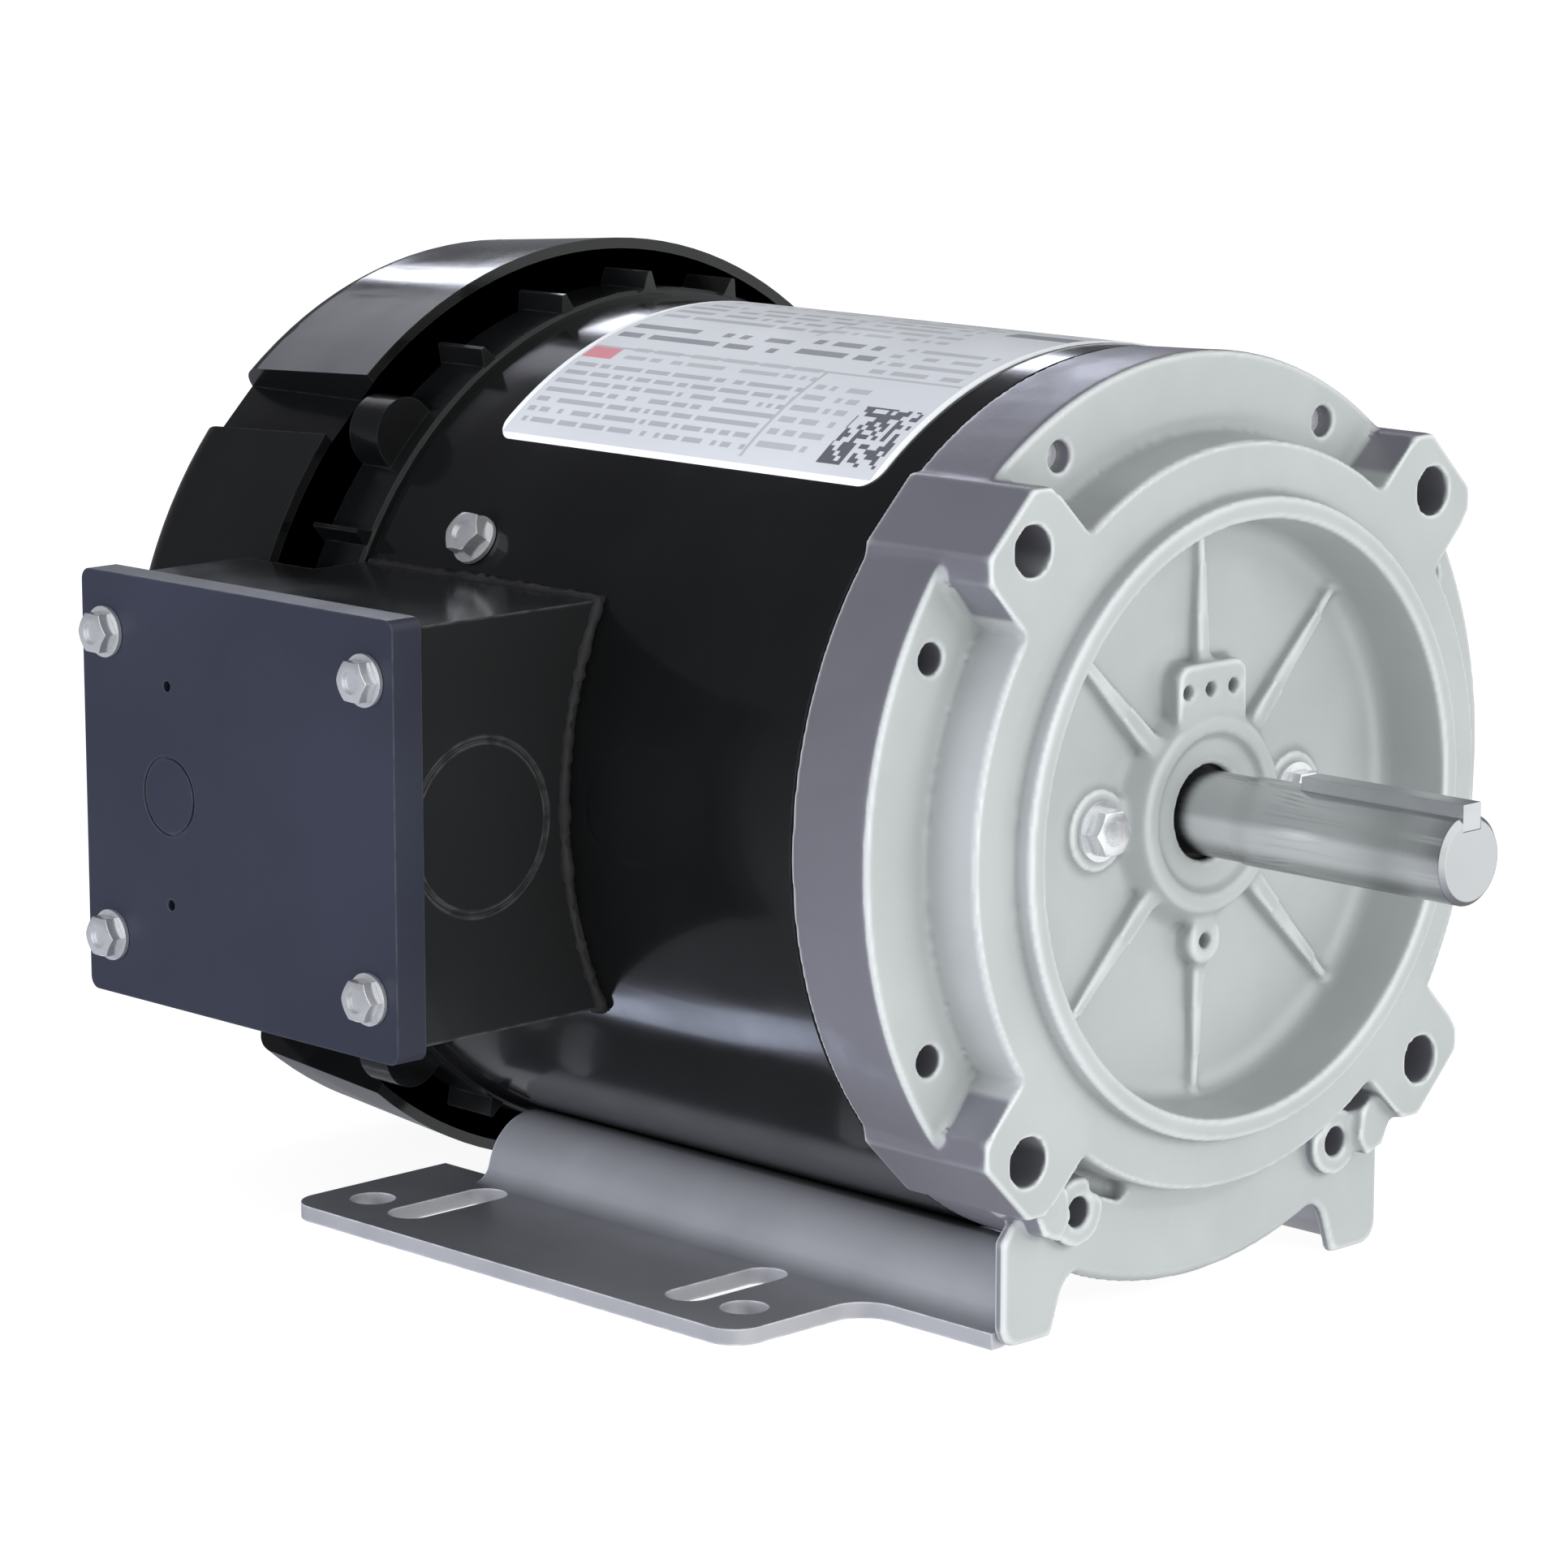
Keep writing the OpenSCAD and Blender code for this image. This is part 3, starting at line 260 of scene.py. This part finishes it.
def make_cast_aluminium():
    """Satin grey casting with painted highlights on its edges and painted shade in its corners. The turned
    rim is smoother; its darker bluish tint is a painted reflection.
    """
    cast = Finish("cast_aluminium", (0.385, 0.405, 0.405), metallic=0.3, rough=0.5, specular=0.4)
    tree = cast.tree
    bend = add(tree, "ShaderNodeNewGeometry").outputs["Pointiness"]
    sideways = calc(tree, "SUBTRACT", 1.0, calc(tree, "ABSOLUTE", world_normal(tree)["Y"]))
    rim = times(tree, ramp(tree, sideways, 0.55, 0.9), ramp(tree, cast.radius(), RIM_INSIDE, RIM_OUTSIDE))
    cast.mottle(0.04, 40).smudge(0.06, 90)
    # Partly painted reflection: the turned rim's outward faces get a darker bluish grey standing in for
    # reflected light; its higher metal look and lower roughness below are its real smoother finish.
    cast.tint(rim, (0.28, 0.28, 0.315))
    # Painted shade: darker grey in concave corners, found by how sharply the surface bends.
    cast.tint(ramp(tree, bend, 0.492, 0.45, 0.0, 0.5), (0.19, 0.20, 0.20))
    # Painted highlight: lighter grey along convex edges.
    cast.tint(ramp(tree, bend, 0.508, 0.55, 0.0, 0.6), (0.72, 0.75, 0.75))
    feed(tree, cast.shader.inputs["Metallic"], ramp(tree, rim, 0, 1, 0.3, 0.7))
    cast.rough = calc(tree, "SUBTRACT", cast.rough, times(tree, rim, 0.06))
    cast.relief(700, 0.04, detail=5).relief(2600, 0.015)
    cast.relief(2200, 0.008, vector=cast.around())
    return cast.done()


def make_cap_aluminium():
    cap = Finish("cap_aluminium", (0.5, 0.52, 0.53), metallic=0.6, rough=0.5)
    return cap.mottle(0.1, 60).relief(800, 0.05, detail=5).done()


def make_zinc():
    """Zinc plate, with a faint yellow cast in places."""
    plate = Finish("zinc_screws", (0.80, 0.81, 0.83), metallic=0.8, rough=0.24)
    plate.mottle(0.05, 160).smudge(0.05, 300).relief(1500, 0.004, detail=4)
    return plate.tint(ramp(plate.tree, plate.noise(90), 0.4, 0.75, 0.0, 0.2), (0.64, 0.62, 0.55)).done()


def make_fan_plastic():
    plastic = Finish("fan_plastic", (0.03, 0.033, 0.036), rough=0.45)
    return plastic.mottle(0.15, 50).relief(1800, 0.02, detail=4).done()


def turned(name, colour, rough, marks_mm=0.01):
    """Turned or ground metal, with fine marks round the shaft."""
    metal = Finish(name, colour, metallic=1.0, rough=rough)
    metal.mottle(0.03, 60).smudge(0.04, 120).relief(3000, marks_mm, vector=metal.around(), detail=4)
    return metal.edge_wear_and_sheen((0.85, 0.86, 0.88), 0.4, 0.3)


def make_ground_steel():
    """Smooth ground shaft with faint rings round it, a painted highlight band along its side and painted
    shade underneath, set by which way the surface faces.
    """
    ground = Finish("ground_steel", (0.60, 0.61, 0.62), metallic=1.0, rough=0.2)
    tree = ground.tree
    facing = world_normal(tree)
    # Painted highlight: a light band on the faces that look sideways and a little down, standing in for a
    # reflection.
    side = times(tree, ramp(tree, facing["Z"], 0.25, 0.0), ramp(tree, facing["Z"], -0.6, -0.3))
    ground.tint(side, (0.92, 0.93, 0.95))
    # Painted shade: darker grey on the faces that look down.
    ground.tint(ramp(tree, facing["Z"], -0.45, -0.75), (0.36, 0.365, 0.375))
    # The end faces get an even grey in place of the painted band and shade.
    ground.tint(ramp(tree, calc(tree, "ABSOLUTE", facing["Y"]), 0.5, 0.9), (0.62, 0.63, 0.64))
    ground.mottle(0.02, 40).smudge(0.02, 80)
    rings = add(tree, "ShaderNodeTexNoise", {"W": ground.axis("Y"), "Scale": 2600.0, "Detail": 2.0},
                noise_dimensions="1D").outputs[0]
    ground.rough = calc(tree, "ADD", ground.rough, ramp(tree, rings, 0.35, 0.65, -0.012, 0.012))
    ground.height = times(tree, rings, 0.0001 * MM)
    round_shaft = add(tree, "ShaderNodeTangent", direction_type="RADIAL", axis="Y").outputs[0]
    feed(tree, ground.shader.inputs["Tangent"], round_shaft)
    feed(tree, ground.shader.inputs["Anisotropic"], 0.7)
    feed(tree, ground.shader.inputs["Anisotropic Rotation"], 0.25)
    return ground.done()


def make_key_steel():
    """Drawn steel, with marks along its length."""
    along = (1, 0.05, 1)
    drawn = Finish("key_steel", (0.66, 0.67, 0.69), metallic=1.0, rough=0.3)
    drawn.mottle(0.08, 60).smudge(0.08, 200, along).relief(2500, 0.01, stretch=along, detail=4)
    return drawn.edge_wear_and_sheen((0.8, 0.81, 0.83), 0.4, 0.3).done()


def make_base_steel():
    sheet = Finish("base_steel", (0.40, 0.405, 0.43), metallic=0.4, rough=0.36, specular=0.45)
    sheet.mottle(0.08, 35).smudge(0.05, 60, (1, 0.15, 1))
    sheet.relief(1800, 0.004, stretch=(1, 0.08, 1), detail=4).relief(400, 0.008)
    return sheet.edge_wear_and_sheen((0.85, 0.86, 0.88), 0.7, 0.7).done()


def make_rubber():
    soft = Finish("black_rubber", (0.018, 0.018, 0.019), rough=0.62, specular=0.35)
    return soft.mottle(0.25, 120).smudge(0.1, 200).relief(900, 0.06, detail=5).done()


def make_lamination():
    iron = Finish("lamination_steel", (0.3, 0.31, 0.33), metallic=0.9, rough=0.42)
    sheets = add(iron.tree, "ShaderNodeTexWave", {"Vector": iron.position, "Scale": 320.0, "Distortion": 0.3},
                 bands_direction="Y").outputs[1]
    iron.height = times(iron.tree, sheets, 0.06 * MM)
    return iron.mottle(0.15, 80).done()


def make_copper():
    wound = Finish("copper_windings", (0.5, 0.19, 0.06), metallic=0.85, rough=0.32, coat=0.5)
    turns = add(wound.tree, "ShaderNodeTexWave",
                {"Vector": wound.position, "Scale": 300.0, "Distortion": 1.5},
                bands_direction="DIAGONAL").outputs[1]
    wound.height = times(wound.tree, turns, 0.2 * MM)
    return wound.mottle(0.2, 90).done()


def make_wire():
    sleeve = Finish("wire_insulation", (0.55, 0.5, 0.12), rough=0.45).mottle(0.1, 150).relief(1200, 0.02)
    return sleeve.smudge(0.08, 200).done()


def make_board():
    board = Finish("board_resin", (0.33, 0.24, 0.14), rough=0.5).mottle(0.2, 200)
    return board.relief(1500, 0.03, detail=5).done()


# Blocks of print: left, right, bottom, top, rows, words in the label's length, darkness.
PRINT_BLOCKS = [
    (0.03, 0.64, 0.04, 0.24, 7, 80, 0.42), (0.12, 0.64, 0.25, 0.31, 2, 70, 0.35),
    (0.03, 0.46, 0.33, 0.42, 2, 44, 0.75), (0.03, 0.48, 0.45, 0.60, 4, 60, 0.45),
    (0.05, 0.42, 0.63, 0.90, 8, 52, 0.38), (0.50, 0.70, 0.34, 0.44, 2, 40, 0.75),
    (0.48, 0.78, 0.46, 0.84, 10, 60, 0.35), (0.72, 0.96, 0.30, 0.44, 4, 56, 0.38),
    (0.82, 0.98, 0.56, 0.66, 1, 12, 0.80), (0.66, 0.80, 0.05, 0.26, 6, 70, 0.36),
]
# Thin rules between them: left, right, bottom, top.
RULES = [(0.64, 0.648, 0.03, 0.29), (0.47, 0.476, 0.44, 0.92), (0.02, 0.98, 0.29, 0.297)]
RULE_DARKNESS = 0.35
# Coloured bars: left, right, bottom, top, colour.
COLOUR_BARS = [
    (0.02, 0.10, 0.25, 0.29, (0.6, 0.12, 0.16)), (0.30, 0.52, 0.92, 0.955, (0.65, 0.05, 0.07)),
    (0.52, 0.66, 0.92, 0.955, (0.06, 0.12, 0.5)),
]
# How much of a row its bars fill, and the share of words left out.
ROW_FILL = (0.22, 0.68)
MISSING_WORDS = 0.25
# A square of random dots: left, right, bottom, top. The dots are counted over the whole label.
DOT_PATCH = (0.83, 0.975, 0.04, 0.20)
DOTS_ALONG, DOTS_UP = 90.0, 82.0
MISSING_DOTS = 0.45
INK = (0.05, 0.05, 0.07)
BORDER = 0.014


def make_label():
    """Silver-white foil with plain bars and dots that stand for print and can't be read.

    Places on it are shares: u runs from the fan end to the drive end, v from the box side up and over.
    """
    low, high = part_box("nameplate")
    spread = [math.atan2(v.co.z, v.co.x) for v in NODES["nameplate"].data.vertices]
    foil = Finish("label_foil", (0.60, 0.615, 0.635), rough=0.55)
    tree = foil.tree
    u = share(tree, foil.axis("Y"), high.y, low.y)
    v = share(tree, calc(tree, "ARCTAN2", foil.axis("Z"), foil.axis("X")), max(spread), min(spread))
    foil.mottle(0.03, 30).smudge(0.05, 60).relief(1500, 0.004)

    def area(left, right, bottom, top):
        return times(tree, within(tree, u, left, right), within(tree, v, bottom, top))

    ink = 0.0
    for index, (left, right, bottom, top, rows, words, dark) in enumerate(PRINT_BLOCKS):
        line = times(tree, calc(tree, "SUBTRACT", v, bottom), rows / (top - bottom))
        stripe = within(tree, calc(tree, "FRACT", line), *ROW_FILL)
        place = calc(tree, "FLOOR", times(tree, u, float(words))), calc(tree, "FLOOR", line), float(index)
        shown = calc(tree, "GREATER_THAN", random_cell(tree, *place), MISSING_WORDS)
        mark = times(tree, times(tree, area(left, right, bottom, top), stripe), times(tree, shown, dark))
        ink = calc(tree, "MAXIMUM", ink, mark)
    place = calc(tree, "FLOOR", times(tree, u, DOTS_ALONG)), calc(tree, "FLOOR", times(tree, v, DOTS_UP))
    dots = calc(tree, "GREATER_THAN", random_cell(tree, *place), MISSING_DOTS)
    ink = calc(tree, "MAXIMUM", ink, times(tree, area(*DOT_PATCH), dots))
    for rule in RULES:
        ink = calc(tree, "MAXIMUM", ink, times(tree, area(*rule), RULE_DARKNESS))
    foil.tint(times(tree, ink, 0.9), INK)
    inside = area(BORDER, 1 - BORDER, BORDER, 1 - BORDER)
    foil.tint(calc(tree, "SUBTRACT", 1.0, inside), (0.86, 0.87, 0.88))
    for left, right, bottom, top, colour in COLOUR_BARS:
        foil.tint(times(tree, area(left, right, bottom, top), 0.8), colour)
    return foil.done()


materials = {
    "black_paint": make_black_paint(),
    "black_casting": make_black_casting(),
    "black_moulding": make_black_moulding(),
    "box_paint": make_box_paint(),
    "cover_paint": make_cover_paint(),
    "cast_aluminium": make_cast_aluminium(),
    "cap_aluminium": make_cap_aluminium(),
    "zinc_screws": make_zinc(),
    "fan_plastic": make_fan_plastic(),
    "spring_steel": turned("spring_steel", (0.3, 0.31, 0.33), 0.35).done(),
    "ground_steel": make_ground_steel(),
    "key_steel": make_key_steel(),
    "black_rubber": make_rubber(),
    "lamination_steel": make_lamination(),
    "cage_aluminium": turned("cage_aluminium", (0.6, 0.61, 0.62), 0.4, 0.03).done(),
    "copper_windings": make_copper(),
    "bearing_steel": turned("bearing_steel", (0.66, 0.67, 0.7), 0.12, 0.002).done(),
    "cage_steel": turned("cage_steel", (0.55, 0.48, 0.32), 0.3).done(),
    "base_steel": make_base_steel(),
    "board_resin": make_board(),
    "stud_brass": turned("stud_brass", (0.7, 0.5, 0.2), 0.25).done(),
    "wire_insulation": make_wire(),
    "label_foil": make_label(),
}


# ---------- rounded edges on the CAD parts ----------

SHARP_ANGLE = math.radians(32)
FLAT_ANGLE = math.radians(0.4)
MERGE_MM = 0.002
# Voxel size in mm and number of smoothing passes of the parts that are castings.
CAST = {"front_endshield": (0.7, 4)}
EDGE_MM = {"fan_cover": 1.2, "base": 0.4, "box_cover": 0.5, "terminal_box": 0.9, "rear_endshield": 0.4,
           "shaft": 0.15, "shaft_key": 0.15, "frame_shell": 0.25, "nameplate": 0.05}
SMALL_EDGE_MM = 0.12


def weld_group():
    """Geometry nodes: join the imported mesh's split corners and mark its edges smooth or sharp by angle."""
    group = bpy.data.node_groups.new("weld_and_shade", "GeometryNodeTree")
    group.interface.new_socket("Geometry", in_out="INPUT", socket_type="NodeSocketGeometry")
    group.interface.new_socket("Geometry", in_out="OUTPUT", socket_type="NodeSocketGeometry")
    start = add(group, "NodeGroupInput").outputs[0]
    merged = add(group, "GeometryNodeMergeByDistance",
                 {"Geometry": start, "Distance": MERGE_MM * MM}).outputs[0]
    angle = add(group, "GeometryNodeInputMeshEdgeAngle").outputs[0]
    flat = add(group, "FunctionNodeCompare", {0: angle, 1: SHARP_ANGLE}, data_type="FLOAT",
               operation="LESS_EQUAL").outputs[0]
    shaded = merged
    for domain, smooth in (("FACE", True), ("EDGE", flat)):
        shaded = add(group, "GeometryNodeSetShadeSmooth", {"Geometry": shaded, "Shade Smooth": smooth},
                     domain=domain).outputs[0]
    add(group, "NodeGroupOutput", {0: shaded})
    return group


WELD = weld_group()


def weld(part):
    part.modifiers.new("weld", "NODES").node_group = WELD


def round_edges(part, width_mm):
    """Small rounds on a CAD part's sharp edges, made by modifiers, so its own mesh stays as imported."""
    weld(part)
    flat = part.modifiers.new("merge_flats", "DECIMATE")
    flat.decimate_type = "DISSOLVE"
    flat.angle_limit = FLAT_ANGLE
    flat.delimit = {"SHARP"}
    bevel = part.modifiers.new("bevel", "BEVEL")
    bevel.width = width_mm * MM
    bevel.segments = 2
    bevel.limit_method = "ANGLE"
    bevel.angle_limit = SHARP_ANGLE
    bevel.harden_normals = True
    bevel.miter_outer = "MITER_ARC"


def cast_surface(part, voxel_mm, smoothing):
    """Even, soft corners of a casting: the part is rebuilt in small voxels and smoothed."""
    weld(part)
    remesh = part.modifiers.new("remesh", "REMESH")
    remesh.mode = "VOXEL"
    remesh.voxel_size = voxel_mm * MM
    remesh.use_smooth_shade = True
    smooth = part.modifiers.new("smooth", "SMOOTH")
    smooth.factor = 0.5
    smooth.iterations = smoothing


for row in frame["record"]["subparts"]:
    node = row["node"]
    part = NODES[node]
    part.data.materials.clear()
    part.data.materials.append(materials[row["material_slot"]])
    if node in CAST:
        cast_surface(part, *CAST[node])
    else:
        round_edges(part, EDGE_MM.get(node, SMALL_EDGE_MM))


# ---------- gasket squeezed out round the terminal box ----------

BEAD_MM = 1.2
BEAD_LIFT_MM = 0.7
BEAD_INSET_MM = 0.9
BEAD_REAR_MM = 1.5
BEAD_STEP_MM = 1.5
BEAD_LUMPS = (0.6, 1.4)


def tube(name, path, radii, sides=12):
    """A closed tube along the points of a path, with its own radius at each point."""
    verts, faces = [], []
    for i, point in enumerate(path):
        along = (path[min(i + 1, len(path) - 1)] - path[max(i - 1, 0)]).normalized()
        out = Vector((point.x, 0, point.z)).normalized()
        side = along.cross(out).normalized()
        out = side.cross(along)
        for k in range(sides):
            turn = 2 * math.pi * k / sides
            verts.append(point + (side * math.cos(turn) + out * math.sin(turn)) * radii[i])
    for i in range(len(path) - 1):
        for k in range(sides):
            a, b = i * sides + k, i * sides + (k + 1) % sides
            faces.append((a, b, b + sides, a + sides))
    last = (len(path) - 1) * sides
    faces.append(tuple(reversed(range(sides))))
    faces.append(tuple(range(last, last + sides)))
    mesh = bpy.data.meshes.new(name)
    mesh.from_pydata(verts, [], faces)
    mesh.polygons.foreach_set("use_smooth", [True] * len(faces))
    bead = bpy.data.objects.new(name, mesh)
    SCENE.collection.objects.link(bead)
    return bead


def make_gasket_bead():
    """Lumpy lip of rubber at the joint of box and frame: along the top, down the front, back underneath."""
    low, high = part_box("box_gasket")
    frame_low, frame_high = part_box("frame_shell")
    seat = (frame_high.x - frame_low.x) / 2 + BEAD_LIFT_MM * MM
    front, rear = low.y + BEAD_INSET_MM * MM, high.y - BEAD_REAR_MM * MM
    tip = math.asin((high.z - BEAD_INSET_MM * MM) / seat)
    step = BEAD_STEP_MM * MM
    along = range(round((rear - front) / step))
    path = [(rear - k * step, tip) for k in along]
    path += [(front, tip - k * step / seat) for k in range(round(2 * tip * seat / step))]
    path += [(front + k * step, -tip) for k in along]
    points = [Vector((-seat * math.cos(a), y, seat * math.sin(a))) for y, a in path]
    lumps = random.Random(7)
    radii = [BEAD_MM * MM * lumps.uniform(*BEAD_LUMPS) for _ in points]
    return tube("box_gasket_bead", points, radii)


bead = make_gasket_bead()
bead.data.materials.append(materials["black_rubber"])
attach(bead, "housing")


# ---------- floor, light and camera ----------

# Lights: name, azimuth, elevation, then distance, width and height in object sizes, power, colour,
# seen by shiny surfaces, seen by dull ones.
LIGHTS = [
    ("key", 165, 15, 4.0, 2.6, 2.6, 7, (1.0, 1.0, 0.99), False, True),
    ("front_low", 190, -7, 1.1, 1.2, 0.12, 0.6, (1.0, 1.0, 1.0), False, True),
    ("side", -80, 4, 4.0, 2.4, 1.4, 27, (0.88, 0.90, 1.0), False, True),
    ("top", -60, 75, 3.0, 2.6, 2.6, 1.5, (0.97, 0.98, 1.0), False, True),
    ("rear", 12, 34, 4.0, 1.6, 0.8, 0.7, (0.88, 0.90, 1.0), True, True),
    ("low_card", -24, -43, 4.0, 0.9, 0.3, 0.55, (0.70, 0.77, 1.0), True, False),
    ("back_card", 37, 26, 4.0, 1.3, 0.6, 2.3, (0.86, 0.89, 1.0), True, False),
]
FLOOR_REACH = 40
FLOOR_GAP_MM = 0.02
FLOOR_GLOW = 0.88
CAMERA_VIEW = (-135.6025, 10.947)
CAMERA_DISTANCE = 0.996
AIM_RIGHT = -0.0131
AIM_UP = -0.0033
LENS_MM = 124.6
SENSOR_MM = 36.0

centre = (cad_low + cad_high) / 2
size = (cad_high - cad_low).length


def direction(azimuth, elevation):
    """Unit vector: azimuth 0 is +Y and 90 is +X, in degrees."""
    a, e = math.radians(azimuth), math.radians(elevation)
    return Vector((math.sin(a) * math.cos(e), math.cos(a) * math.cos(e), math.sin(e)))


def make_light(name, azimuth, elevation, distance, width, height, power, colour, glossy, diffuse):
    """A soft panel that faces the object and that the camera doesn't see."""
    light = bpy.data.lights.new(name, "AREA")
    light.shape = "RECTANGLE"
    light.size, light.size_y = width * size, height * size
    light.energy = power
    light.color = colour
    lamp = bpy.data.objects.new(name, light)
    SCENE.collection.objects.link(lamp)
    out = direction(azimuth, elevation)
    lamp.location = centre + out * distance * size
    lamp.rotation_mode = "QUATERNION"
    lamp.rotation_quaternion = out.to_track_quat("Z", "Y")
    lamp.visible_glossy = glossy
    lamp.visible_diffuse = diffuse
    lamp.visible_camera = False


def make_floor():
    """A wide pale floor just under the feet."""
    mesh = bpy.data.meshes.new("floor")
    reach = FLOOR_REACH * size
    z = cad_low.z - FLOOR_GAP_MM * MM
    corners = [(-reach, -reach, z), (reach, -reach, z), (reach, reach, z), (-reach, reach, z)]
    mesh.from_pydata(corners, [], [(0, 1, 2, 3)])
    floor = bpy.data.objects.new("floor", mesh)
    SCENE.collection.objects.link(floor)
    pale = bpy.data.materials.new("pale_floor")
    pale.use_nodes = True
    tree = pale.node_tree
    tree.nodes.clear()
    matt = add(tree, "ShaderNodeBsdfDiffuse", {"Color": (0.35, 0.35, 0.35, 1.0)})
    glow = add(tree, "ShaderNodeEmission", {"Color": (1, 1, 1, 1), "Strength": FLOOR_GLOW})
    both = add(tree, "ShaderNodeAddShader", {0: matt.outputs[0], 1: glow.outputs[0]})
    add(tree, "ShaderNodeOutputMaterial", {"Surface": both.outputs[0]})
    mesh.materials.append(pale)
    floor.visible_glossy = False


def make_world():
    """White for the camera. Light and reflections come from a soft room, brighter low down and in front."""
    world = bpy.data.worlds.new("studio")
    SCENE.world = world
    world.use_nodes = True
    tree = world.node_tree
    tree.nodes.clear()
    way = add(tree, "ShaderNodeTexCoord").outputs["Generated"]
    height = add(tree, "ShaderNodeSeparateXYZ", {0: way}).outputs["Z"]
    low = ramp(tree, height, 0.25, -0.35)
    room = blend(tree, low, (0.13, 0.13, 0.14), (0.30, 0.305, 0.34))
    front = add(tree, "ShaderNodeVectorMath", {0: way, 1: tuple(direction(165, 20))},
                operation="DOT_PRODUCT")
    room = blend(tree, ramp(tree, front.outputs["Value"], 0.0, 0.85), room, (1.15, 1.17, 1.17))
    light = add(tree, "ShaderNodeBackground", {"Color": room, "Strength": 1.0})
    white = add(tree, "ShaderNodeBackground", {"Color": (1, 1, 1, 1), "Strength": 1.0})
    seen = add(tree, "ShaderNodeLightPath").outputs["Is Camera Ray"]
    mix = add(tree, "ShaderNodeMixShader", {0: seen, 1: light.outputs[0], 2: white.outputs[0]})
    add(tree, "ShaderNodeOutputWorld", {"Surface": mix.outputs[0]})


def make_camera():
    """At the photograph's viewing angle: a long lens to the left of the drive end and a little above it."""
    camera = bpy.data.objects.new("camera", bpy.data.cameras.new("camera"))
    SCENE.collection.objects.link(camera)
    camera.data.sensor_width = SENSOR_MM
    camera.data.lens = LENS_MM
    forward = -direction(*CAMERA_VIEW)
    right = forward.cross(Vector((0, 0, 1))).normalized()
    up = right.cross(forward)
    aim = centre + right * AIM_RIGHT + up * AIM_UP
    camera.location = aim - forward * CAMERA_DISTANCE
    camera.rotation_mode = "QUATERNION"
    camera.rotation_quaternion = forward.to_track_quat("-Z", "Y")
    camera.data.clip_start = 0.01
    SCENE.camera = camera


make_floor()
make_world()
make_camera()
SCENE.view_settings.view_transform = "Standard"
for row in LIGHTS:
    make_light(*row)
